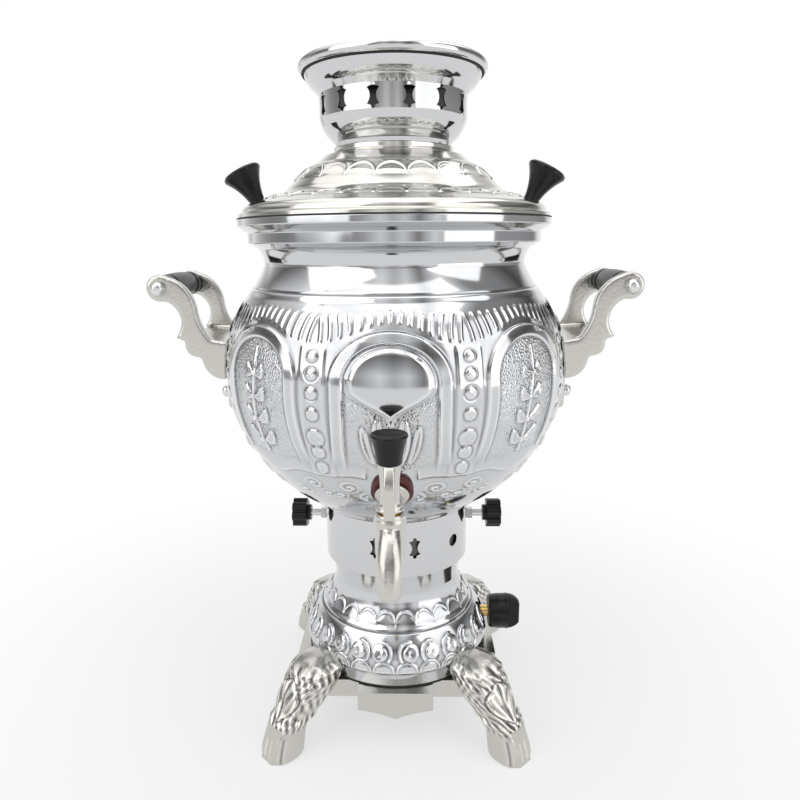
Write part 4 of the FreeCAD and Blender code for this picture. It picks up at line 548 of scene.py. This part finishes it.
# lamps: name, place, what it points at, size and power
LAMPS = [("key", (-1.5, -1.2, 1.3), (0, 0, 0.25), (2.0, 2.0), 17),
         ("fill", (1.6, -1.0, 0.9), (0, 0, 0.25), (1.6, 1.8), 12),
         ("top", (0, 0.1, 2.0), (0, 0, 0.2), (2.6, 2.6), 22)]


def lamp(name, place, target, size, watts):
    data = bpy.data.lights.new(name, "AREA")
    data.shape = "RECTANGLE"
    data.size, data.size_y = size
    data.energy = watts
    made = bpy.data.objects.new(name, data)
    made.location = place
    made.rotation_euler = (Vector(target) - Vector(place)).to_track_quat("-Z", "Y").to_euler()
    bpy.context.scene.collection.objects.link(made)


for facts in LAMPS:
    lamp(*facts)

# floor: white far off, and near the object with its shadow
FLOOR_HALF = 6
FLOOR_DROP = 0.0004
SHADOW_R = 0.16
WHITE_R = 0.55
WHITE_NEAR = 0.62


def floor_material():
    """Pale floor that glows white to the eye and in reflections, less so near the object."""
    made = new_material("floor", (0.8, 0.8, 0.8), metal=0.0, rough=0.9)
    tree = made.node_tree
    glow = tree.nodes.new("ShaderNodeEmission")
    glow.inputs["Color"].default_value = WHITE
    glow.inputs["Strength"].default_value = 1.0
    ray = tree.nodes.new("ShaderNodeLightPath")
    seen = math_node(tree, "ADD", ray.outputs["Is Camera Ray"], ray.outputs["Is Glossy Ray"], clamp=True)
    seen = math_node(tree, "ADD", seen, ray.outputs["Is Transmission Ray"], clamp=True)
    where = tree.nodes.new("ShaderNodeTexCoord")
    away = tree.nodes.new("ShaderNodeVectorMath")
    away.operation = "LENGTH"
    tree.links.new(where.outputs["Object"], away.inputs[0])
    white = tree.nodes.new("ShaderNodeMapRange")
    white.interpolation_type = "SMOOTHSTEP"
    white.inputs["From Min"].default_value = SHADOW_R
    white.inputs["From Max"].default_value = WHITE_R
    white.inputs["To Min"].default_value = WHITE_NEAR
    white.inputs["To Max"].default_value = 1.0
    tree.links.new(away.outputs["Value"], white.inputs["Value"])
    share = math_node(tree, "MULTIPLY", seen, white.outputs[0])
    whole = mix_shaders(tree, share, tree.nodes["Principled BSDF"], glow)
    tree.links.new(whole.outputs[0], tree.nodes["Material Output"].inputs["Surface"])
    return made


corners = [(-FLOOR_HALF, -FLOOR_HALF, 0), (FLOOR_HALF, -FLOOR_HALF, 0),
           (FLOOR_HALF, FLOOR_HALF, 0), (-FLOOR_HALF, FLOOR_HALF, 0)]
floor_mesh = bpy.data.meshes.new("floor")
floor_mesh.from_pydata(corners, [], [(0, 1, 2, 3)])
floor_mesh.materials.append(floor_material())
floor = bpy.data.objects.new("floor", floor_mesh)
bpy.context.scene.collection.objects.link(floor)
floor.location = (0, 0, -FLOOR_DROP)

# tank with its embossing: heights are above the table, lifts are millimetres outward
TANK_Z = 168.0
TANK_WALL = 1.2
TANK_STEP = 0.55
TANK_SEGMENTS = 1440
TANK_TONE_DEPTH = 0.75
PANELS = 8
PANEL_TURN = 360.0 / PANELS
TANK_PATH = [
    (54.6, 0.8), (58.0, 0.8), (60.0, 4.2), ("via", 93.5, 30.0), (117.1, 70.0), ("via", 123.2, 95.0),
    (117.8, 138.0), ("via", 111.4, 150.5), (102.4, 163.5), ("via", 96.5, 172.8), (93.5, 179.5),
    ("via", 94.5, 186.05), (97.5, 190.6), (104.0, 194.2), (104.0, 201.0), (110.8, 205.6),
    (110.8, 210.0), (105.5, 210.0)]
ARCH_HALF = 38.0
ARCH_SPRING = 282.0
ARCH_TOP = 313.0
SHIELD_TIP = 258.5
SHIELD_LOW = 257.5
SHIELD_RISE = 21.0
SHIELD_HALF = 26.0
SHIELD_LIFT = 2.0
BAND_LIFT = 1.5
GROUND_DROP = 0.35
# leaves under the shield: distance from the middle, lean, top, foot and half width
SHIELD_LEAVES = [(7.5, 0.22, 262.0, 228.0, 4.6), (15.0, 0.42, 258.0, 230.0, 3.4)]
STEM_LOW = 230
STEM_TOP = 300
BRANCH_ROWS = 4
BRANCH_FOOT = 236.0
BRANCH_PITCH = 15.0
BRANCH_SIZE = 15.0
BRANCH_SHRINK = 1.6
BRANCH_LEAF_HALF = 4.2
STEM_HALF = 1.2
STEM_LIFT = 1.3
# beads between the panels: height and radius
BEADS = [(297.5, 3.6), (287.0, 3.8), (275.8, 4.1), (262.8, 4.3), (247.5, 6.0), (237.5, 4.6), (226.5, 4.2)]
FLUTE_TURN = 3.0
FLUTE_LIFT = 0.5
FRINGE_TOP = 325.0
FRINGE_LOW = 315.5
SHOULDER_GROOVE = 332.0
SCROLL_Z = 223.0
SCROLL_LIFT = 1.1
# curls below the panels: degrees from the panel's middle, height and radius
CURLS = [(15.5, 211.0, 6.0), (9.0, 203.0, 5.0), (20.5, 203.5, 4.6)]
TAP_Z = 212.0
TAP_HALF = 16.0


def arch_depth(u, z):
    """How far inside its panel's arch a place lies: straight sides and a round head."""
    up = np.maximum(z - ARCH_SPRING, 0) / (ARCH_TOP - ARCH_SPRING)
    return (1 - np.sqrt((u / ARCH_HALF) ** 2 + up ** 2)) * ARCH_HALF


def shield_relief(u, z, front, inside):
    """Front panel: a smooth shield, pointed below, over two pairs of leaves."""
    lower = np.clip((z - SHIELD_TIP) / SHIELD_RISE, 0, 1)
    half = 1.2 + SHIELD_HALF * step_up(0.0, 1.0, lower) ** 1.1
    depth = np.minimum(half - np.abs(u), inside - 10.5)
    depth = np.where(front & (z > SHIELD_LOW), depth, -9.0)
    lift = np.where(front, SHIELD_LIFT * step_up(-0.2, 5.5, depth) + 0.5 * bump(depth - 0.6, 0.8), 0)
    plain = depth > -0.6
    for side in (-1, 1):
        for centre, lean, top, low, wide in SHIELD_LEAVES:
            mid = (top + low) / 2
            across = u * side - centre - (z - mid) * lean * 0.55 + ((z - mid) / 18.0) ** 2 * 2.0
            along = (z - low) / (top - low)
            leaf = leaf_depth(along, across, wide)
            mask = front & (along > 0) & (along < 1)
            vein = 0.7 * bump(across, 0.7) * step_up(0, 1, leaf)
            lift += np.where(mask, 1.2 * step_up(0, 1.6, leaf) - vein, 0)
            plain |= mask & (leaf > 0)
    return lift, plain


def branch_relief(u, z, panel):
    """Other panels: a wavy stem with four pairs of ribbed leaves."""
    stem = bump(u + 1.5 * np.sin((z - STEM_LOW) / 14.0), STEM_HALF)
    mask = panel & (z > STEM_LOW) & (z < STEM_TOP)
    lift = np.where(mask, STEM_LIFT * stem, 0)
    plain = mask & (stem > 0.3)
    for row in range(BRANCH_ROWS):
        foot = BRANCH_FOOT + row * BRANCH_PITCH
        size = BRANCH_SIZE - row * BRANCH_SHRINK
        for side in (-1, 1):
            du = u * side - 2.0
            dz = z - foot
            along = (du * 0.75 + dz * 0.66) / size
            bend = 3.0 * np.sin(np.pi * np.clip(along, 0, 1))
            across = (-du * 0.66 + dz * 0.75) + bend - 2.0
            leaf = leaf_depth(along, across, BRANCH_LEAF_HALF)
            mask = panel & (along > 0) & (along < 1)
            ribs = 0.28 * np.cos(2 * np.pi * across / 1.9)
            lift += np.where(mask, (1.1 + ribs) * step_up(0, 1.3, leaf), 0)
            plain |= mask & (leaf > 0)
    return lift, plain


def bead_relief(turn, r, z):
    """A raised strip with a column of pebbled beads between two panels."""
    gap = turn - (np.floor(turn / PANEL_TURN) * PANEL_TURN + PANEL_TURN / 2)
    u = np.radians(gap) * r
    strip = 1 - step_up(7.0, 9.5, np.abs(u))
    lift = 0.5 * strip * window(z, 214, 226, 300, 306)
    for height, size in BEADS:
        dz = z - height
        away = np.sqrt(u ** 2 + dz ** 2)
        wave = 2 * np.pi / (size * 0.8)
        pebbles = 0.125 * np.cos(u * wave) * np.cos(dz * wave)
        lift += dome_of(away, size) + np.where(away < size * 0.7, pebbles, 0)
        lift -= 0.35 * bump(away - size - 0.5, 0.6)
    return lift


def fringe_relief(turn, off_middle, z):
    """Short curved flutes on the shoulder, and a thin bead above them."""
    dip = 0.5 - 0.5 * np.cos(np.radians(off_middle) * PANELS)
    top = FRINGE_TOP - 3.0 * dip
    low = FRINGE_LOW - 12.0 * dip
    above = z - (top + low) / 2
    fade = step_up(0, 3.0, z - low) * step_up(0, 3.0, top - z)
    side = np.sign(off_middle)
    lean = side * above * 0.10 + above ** 2 * 0.006 * side
    flute = np.clip(np.cos(2 * np.pi * (turn - lean) / FLUTE_TURN) + 0.25, 0, 2) ** 1.2
    bead = 0.7 * window(z, 327.0, 331.0, 331.3, 331.9) - 0.5 * bump(z - SHOULDER_GROOVE, 0.6)
    return fade * FLUTE_LIFT * flute + bead


def scroll_relief(off_middle, u, r, z):
    """A wavy edge and three pairs of curls below each panel."""
    angle = np.radians(off_middle)
    above = z - (SCROLL_Z - 5.0 * np.cos(angle * 4) - 2.0 * np.cos(angle * 16))
    lift = SCROLL_LIFT * (step_up(-1.5, 0.5, above) - step_up(0.5, 9.0, above))
    for place, height, size in CURLS:
        for side in (-1, 1):
            du = u - side * np.radians(place) * r
            away = np.sqrt((du / 1.5) ** 2 + (z - height) ** 2)
            curl = np.cos(away * 1.9 - np.arctan2(z - height, du * side))
            lift += np.where(away < size, (0.55 * curl + 0.5) * (1 - (away / size) ** 2), 0)
    return lift


def tank_calm(turn, u, r, z, front):
    """1 where the tank is embossed, 0 at its foot, neck and rim and at the seats of tap and handles."""
    seat = np.sqrt((np.where(front, u, 99.0)) ** 2 + ((z - TAP_Z) * 1.2) ** 2)
    quarter = np.abs(np.mod(turn + 90.0, 180.0) - 90.0)
    side_u = np.abs(np.radians(90.0 - quarter) * r)
    arms = (1 - step_up(41.0, 44.0, side_u)) * window(z, 262, 266, 298, 302)
    lug = (1 - step_up(11.0, 13.0, side_u)) * window(z, 236, 240, 262, 266)
    return window(z, 190.0, 198.0, 333.0, 334.0) * step_up(15.0, 20.0, seat) * (1 - arms) * (1 - lug)


def tank_relief(line, angles):
    """Arched panels, columns of beads, a fringe of flutes, and scrolls."""
    z = line[:, 1:]
    r = line[:, :1]
    turn = np.degrees(angles)[None, :]
    number = np.round(turn / PANEL_TURN)
    off_middle = turn - number * PANEL_TURN
    front = np.mod(number, PANELS) == 0
    u = np.radians(off_middle) * r
    inside = arch_depth(u, z)
    band = step_up(0.0, 2.4, inside) - 0.8 * step_up(8.6, 10.0, inside)
    ground = step_up(9.4, 10.4, inside) * step_up(222.0, 230.0, z)
    shield, shield_plain = shield_relief(u, z, front, inside)
    branch, branch_plain = branch_relief(u, z, ~front)
    tap_free = np.where(front & (np.abs(u) < TAP_HALF), 0.0, 1.0)
    lift = step_up(224.0, 240.0, z) * BAND_LIFT * band - GROUND_DROP * ground + shield + branch
    lift += bead_relief(turn, r, z)
    lift += fringe_relief(turn, off_middle, z)
    lift += tap_free * scroll_relief(off_middle, u, r, z)
    calm = tank_calm(turn, u, r, z, front)
    stipple = np.where(shield_plain | branch_plain, 0.0, ground * calm)
    return lift * calm, {"stipple": stipple}


spun_sheet("tank_embossed", trace(TANK_PATH, TANK_STEP, TANK_Z), TANK_WALL, TANK_SEGMENTS, TANK_CHROME,
           "tank", ("tank_shell",), tank_relief, TANK_TONE_DEPTH)

# base shell with its band of leaves
STAND_Z = 45.0
BASE_WALL = 1.2
BASE_STEP = 0.5
BASE_SEGMENTS = 900
BASE_PATH = [
    (61.0, 0.0), (70.9, 0.0), (72.3, 11.7), ("via", 69.0, 26.25), (61.1, 38.0),
    ("via", 52.85, 48.8), (49.0, 62.0), ("via", 50.4, 70.8), (53.0, 79.6), (41.0, 79.6)]
BELT_LOW = STAND_Z + 11
BELT_TOP = STAND_Z + 38.5
CONE_TOP = STAND_Z + 54
SHELL_Z = STAND_Z + 12.5
SHELL_R = 7.2
BELT_LEAVES = 26
LEAF_ASIDE = 2.2
LEAF_UP = 12.8
LEAF_R = 7.5
CONE_SCALLOPS = 24
CONE_CUSPS = 41.5
BELT_GROOVE = 38.3
GAS_Z = 66.0
VALVE_HOLE = (8.5, 11.0)
INLET_HOLE_R = 5.2


def belt_relief(turn, r, z):
    """A row of round shells, and over it turned leaves that mirror at the front."""
    hand = np.where(np.sin(turn) >= 0, 1.0, -1.0)
    belt = (z > BELT_LOW) & (z < BELT_TOP)
    v = z - SHELL_Z
    pitch = 2 * np.pi / BELT_LEAVES
    u = (np.mod(turn, pitch) - pitch / 2) * r
    away = np.sqrt(u ** 2 + (v + 0.5) ** 2)
    shell = 0.9 * bump(away - 7.7, 0.7) + 1.1 * dome_of(away, SHELL_R) * step_up(0.0, 1.2, 7.4 - away)
    lift = np.where(belt & (v > -1.5), shell * step_up(-1.5, 0.5, v), 0)
    du = u - hand * LEAF_ASIDE
    from_leaf = np.sqrt(du ** 2 + (v - LEAF_UP) ** 2) + 1e-6
    open_side = -hand * du / from_leaf
    rim = 1.3 * bump(from_leaf - LEAF_R, 0.75) * step_up(-0.35, 0.35, open_side)
    pillow = 1.3 * step_up(0.0, 2.6, 7.2 - from_leaf) * (0.35 + 0.65 * np.clip(0.5 + 0.5 * open_side, 0, 1))
    crease = -0.8 * bump(from_leaf - 5.0, 0.7) * step_up(0.1, 0.6, open_side)
    leaf = (rim + pillow + crease) * step_up(8.2, 9.4, away)
    return lift + np.where(belt & (v > 3) & (v < 22.5), leaf, 0)


def base_relief(line, angles):
    """The belt, scallops on the cone over it, and plain seats for gas valve and inlet."""
    z = line[:, 1:]
    r = line[:, :1]
    turn = angles[None, :]
    lift = belt_relief(turn, r, z)
    cone = (z > BELT_TOP) & (z < CONE_TOP)
    row = scallops(turn, r, z - STAND_Z - CONE_CUSPS, CONE_SCALLOPS, wide=0.8, high=8.5, ridge=0.9, shift=0)
    lift += np.where(cone, row, 0)
    lift += -0.7 * bump(z - (STAND_Z + BELT_GROOVE), 0.7)
    side = np.sqrt((np.where(np.sin(turn) > 0, np.cos(turn), 9) * r) ** 2 + ((z - GAS_Z) * 0.8) ** 2)
    back = np.sqrt((np.where(np.cos(turn) < 0, np.sin(turn), 9) * r) ** 2 + (z - GAS_Z) ** 2)
    return lift * step_up(10.0, 14.0, side) * step_up(9.0, 12.0, back), {}


def base_holes(x, y, z):
    """The oval hole of the gas valve on the right, and the inlet's round one behind."""
    valve = (x > 40) & ((y / VALVE_HOLE[0]) ** 2 + ((z - GAS_Z) / VALVE_HOLE[1]) ** 2 < 1)
    inlet = (y > 40) & (x ** 2 + (z - GAS_Z) ** 2 < INLET_HOLE_R ** 2)
    return valve | inlet


base_piece = spun_sheet("base_embossed", trace(BASE_PATH, BASE_STEP, STAND_Z), BASE_WALL, BASE_SEGMENTS,
                        BASE_CHROME, "base", ("base_shell",), base_relief)
cut_openings(base_piece, base_holes)

# lid with scallops and steam holes
LID_Z = 378.4
LID_WALL = 1.0
LID_STEP = 0.5
LID_SEGMENTS = 1260
LID_PATH = [
    (101.5, -8.0), (101.5, 0.0), (110.0, 0.0), (110.0, 2.6), (107.4, 3.8), ("via", 105.8, 7.4),
    (102.0, 9.6), (86.0, 14.6), ("via", 79.9, 16.6), (75.0, 20.6), (62.0, 33.3),
    ("via", 58.85, 35.45), (54.9, 36.6), (48.8, 42.2), (42.0, 44.6), (42.0, 47.6), (38.1, 47.6)]
LID_TOP_Z = LID_Z + 6
LID_DEPTH = 0.8
CONE_CUSP_R = 70.5
CONE_ROW = 22
BRIM_CUSP_R = 93.0
BRIM_ROW = 29
STEAM_R = 85.0
STEAM_HOLE_R = 2.3
STEAM_PAIR_TURN = 45.0
STEAM_HALF_TURN = 6.2


def lid_relief(line, angles):
    """A row of scallops on the cone and a larger one on the brim."""
    r = line[:, :1]
    turn = angles[None, :]
    cone = scallops(turn, r, -(r - CONE_CUSP_R), CONE_ROW, wide=0.9, high=8.0, ridge=1.0)
    brim = scallops(turn, r, -(r - BRIM_CUSP_R), BRIM_ROW, wide=0.9, high=9.0, ridge=1.3)
    lift = np.where((r > 50) & (r < 74), cone, 0) + np.where((r > 74) & (r < 101), brim, 0)
    return lift * (line[:, 1:] > LID_TOP_Z) * LID_DEPTH, {}


def steam_holes(x, y, z):
    """Eight pairs of round holes in the brim."""
    part = np.mod(np.degrees(np.arctan2(x, -y)), STEAM_PAIR_TURN)
    part = np.where(part > STEAM_PAIR_TURN / 2, part - STEAM_PAIR_TURN, part)
    du = np.radians(np.abs(part) - STEAM_HALF_TURN) * STEAM_R
    dr = np.hypot(x, y) - STEAM_R
    return (du ** 2 + dr ** 2 < STEAM_HOLE_R ** 2) & (z > LID_TOP_Z)


lid_piece = spun_sheet("lid_embossed", trace(LID_PATH, LID_STEP, LID_Z), LID_WALL, LID_SEGMENTS, LID_CHROME,
                       "lid", ("lid_shell",), lid_relief)
cut_openings(lid_piece, steam_holes)

# legs with leaves, curls and hooves
LEGS = 4
FIRST_LEG_TURN = 45
LEG_ROWS = 170
LEG_COLUMNS = 150
LEG_TOP = 63.0
LEG_SMOOTHING = 6
SQUARENESS = 2.6
# sections from the top down: height, distance from the axis, half depth and half width
LEG_SECTIONS = [
    (64.0, 80.0, 5.0, 6.0), (62.0, 81.5, 12.0, 13.0), (57.0, 84.0, 17.0, 17.0), (50.0, 87.0, 19.5, 18.5),
    (42.0, 92.5, 18.5, 17.5), (33.0, 100.0, 16.0, 15.5), (27.0, 106.5, 14.0, 14.0),
    (23.0, 110.5, 13.4, 13.6), (17.0, 113.5, 13.4, 13.4), (8.0, 116.0, 14.2, 14.4), (2.2, 117.0, 14.2, 14.6),
    (0.3, 117.0, 13.0, 13.4)]
LEG_LEAF_FOOT = 27.0
LEG_LEAF_LONG = 26.0
LEG_LEAF_HALF = 0.78
ANKLE_Z = 24.5
KNEE_Z = 56.5
HOOF_TOP = 20.0


def leg_relief(angle, height):
    """Hair all round, a veined leaf on the outer face, curls at knee and ankle, and a cleft hoof."""
    lift = 0.42 * np.cos(11 * angle + 4.0 * np.sin(height / 5.0)) * np.sin(
        height / 1.9 + 3.0 * np.cos(angle * 3))
    lift += 0.40 * np.cos(19 * angle + height * 0.8) * (0.6 + 0.4 * np.cos(height / 2.1))
    along = (height - LEG_LEAF_FOOT) / LEG_LEAF_LONG
    across = angle - 0.12 * np.sin(height / 9.0)
    leaf = LEG_LEAF_HALF * np.sin(np.pi * np.clip(along, 0, 1)) ** 0.8 - np.abs(across)
    on_leaf = step_up(0.0, 0.16, leaf)
    veins = 0.3 * np.cos(np.abs(across) * 16 - height * 0.45)
    lift = lift * (1 - on_leaf) + on_leaf * (1.3 + veins - 0.9 * bump(across, 0.07))
    lift += -0.7 * bump(leaf, 0.05) * (along > 0) * (along < 1)
    ankle = np.abs(np.sin(angle * 3.5 + 0.6))
    lift += 1.5 * bump(height - (ANKLE_Z + 2.5 * ankle), 2.3) * (0.4 + 0.6 * ankle)
    knee = np.abs(np.sin(angle * 4))
    lift += 1.6 * bump(height - (KNEE_Z + 2.0 * knee), 2.6) * (0.3 + 0.7 * knee)
    lift *= step_up(19.0, 24.0, height)
    hoof = 1 - step_up(HOOF_TOP - 3.0, HOOF_TOP, height)
    lift += hoof * (-1.3 * bump(angle, 0.10) - 0.5 * bump(np.abs(angle) - 0.85, 0.08))
    return lift * step_up(0.2, 2.5, height) * step_up(-0.1, 3.0, LEG_TOP - height)


def leg_points():
    """Places of a leg, out from the axis, across and up, and its relief."""
    table = np.array(LEG_SECTIONS)
    runs = np.hypot(np.diff(table[:, 0]), np.diff(table[:, 1]))
    length = np.concatenate([[0], np.cumsum(runs)])
    at = np.linspace(0, length[-1], LEG_ROWS)
    columns = [np.interp(at, length, table[:, i]) for i in range(4)]
    for _ in range(LEG_SMOOTHING):
        for line in columns:
            line[1:-1] = (line[:-2] + 2 * line[1:-1] + line[2:]) / 4
    height, distance, deep, wide = (line[:, None] for line in columns)
    angle = np.linspace(-np.pi, np.pi, LEG_COLUMNS, endpoint=False)[None, :]
    lift = leg_relief(angle, height)
    cosine = np.cos(angle)
    sine = np.sin(angle)
    swell = (np.abs(cosine) ** SQUARENESS + np.abs(sine) ** SQUARENESS) ** (-1 / SQUARENESS)
    out = distance + (deep * swell * cosine + lift * cosine)
    across = wide * swell * sine + lift * sine
    return out, across, height * np.ones_like(out), lift


def build_leg(index, out, across, height, lift):
    turn = math.radians(FIRST_LEG_TURN + 360 / LEGS * index)
    x = out * math.cos(turn) - across * math.sin(turn)
    y = out * math.sin(turn) + across * math.cos(turn)
    points = np.stack([x, y, height], axis=-1).reshape(-1, 3)
    faces = capped_faces(LEG_ROWS, LEG_COLUMNS)
    made = build_mesh("leg_%d" % (index + 1), points, faces, LEG_CAST, "base")
    # the tone sets the painted shade in hollows and the painted highlight on crests
    store(made, "tone", tone_of(lift, reach=3, depth=0.4))


leg_shape = leg_points()
for index in range(LEGS):
    build_leg(index, *leg_shape)

# castings rounded as cast metal is, each with the size of its grid in millimetres
ROUNDED = [("handle_bracket_left", 0.8), ("handle_bracket_right", 0.8), ("tap_body", 0.6), ("tap_key", 0.5)]
SOFTNESS = 0.7
SOFT_ROUNDS = 22

for name, voxel in ROUNDED:
    node = frame["nodes"][name]
    shrink = node.modifiers.new("voxels", "REMESH")
    shrink.mode = "VOXEL"
    shrink.voxel_size = voxel * MM
    shrink.use_smooth_shade = True
    soften = node.modifiers.new("soften", "SMOOTH")
    soften.factor = SOFTNESS
    soften.iterations = SOFT_ROUNDS

# tap knob, dished on top
KNOB_STEP = 0.6
KNOB_SEGMENTS = 96
KNOB_PLACE = (0.0, -151.6)
KNOB_PATH = [
    (1.0, 244.6), (6.4, 244.6), (7.1, 245.3), ("via", 7.9, 251.0), (10.1, 259.8), ("via", 10.5, 261.2),
    (9.7, 261.9), ("via", 6.0, 260.4), (1.0, 259.9)]


def turned(name, path, look, body, centre, replaced):
    """A solid turned piece from an open outline that starts and ends near its axis."""
    line = trace(path, KNOB_STEP)
    angles = np.linspace(0, 2 * np.pi, KNOB_SEGMENTS, endpoint=False)
    points = ring_points(line[:, :1], line[:, 1:], angles, centre)
    faces = capped_faces(len(line), KNOB_SEGMENTS)
    return build_mesh(name, points, faces, look, body, replaced=replaced)


turned("tap_knob_dished", KNOB_PATH, BLACK, "tap_control", KNOB_PLACE, ("tap_knob",))

# painted shadow: thin dark rings where two sheets meet
SEAM_SEGMENTS = 360
SEAM_SIDES = 8
CROWN_SEAM_Z = 473.6


def shadow_ring(name, radius, height, thick, body):
    """A thin dark ring for the shadow between two sheets."""
    angles = np.linspace(0, 2 * np.pi, SEAM_SEGMENTS, endpoint=False)
    section = np.linspace(0, 2 * np.pi, SEAM_SIDES, endpoint=False)[:, None]
    points = ring_points(radius + thick * np.cos(section), height + thick * np.sin(section), angles)
    return build_mesh(name, points, closed_faces(SEAM_SIDES, SEAM_SEGMENTS), GAP_SHADOW_LOOK, body)


shadow_ring("lid_shadow_ring", radius=110.2, height=LID_Z - 0.1, thick=0.75, body="lid")
shadow_ring("crown_shadow_ring", radius=61.9, height=CROWN_SEAM_Z, thick=0.8, body="crown")
shadow_ring("base_shadow_ring", radius=71.0, height=STAND_Z + 0.5, thick=0.7, body="base")
shadow_ring("shroud_shadow_ring", radius=55.7, height=TANK_Z, thick=0.6, body="base")
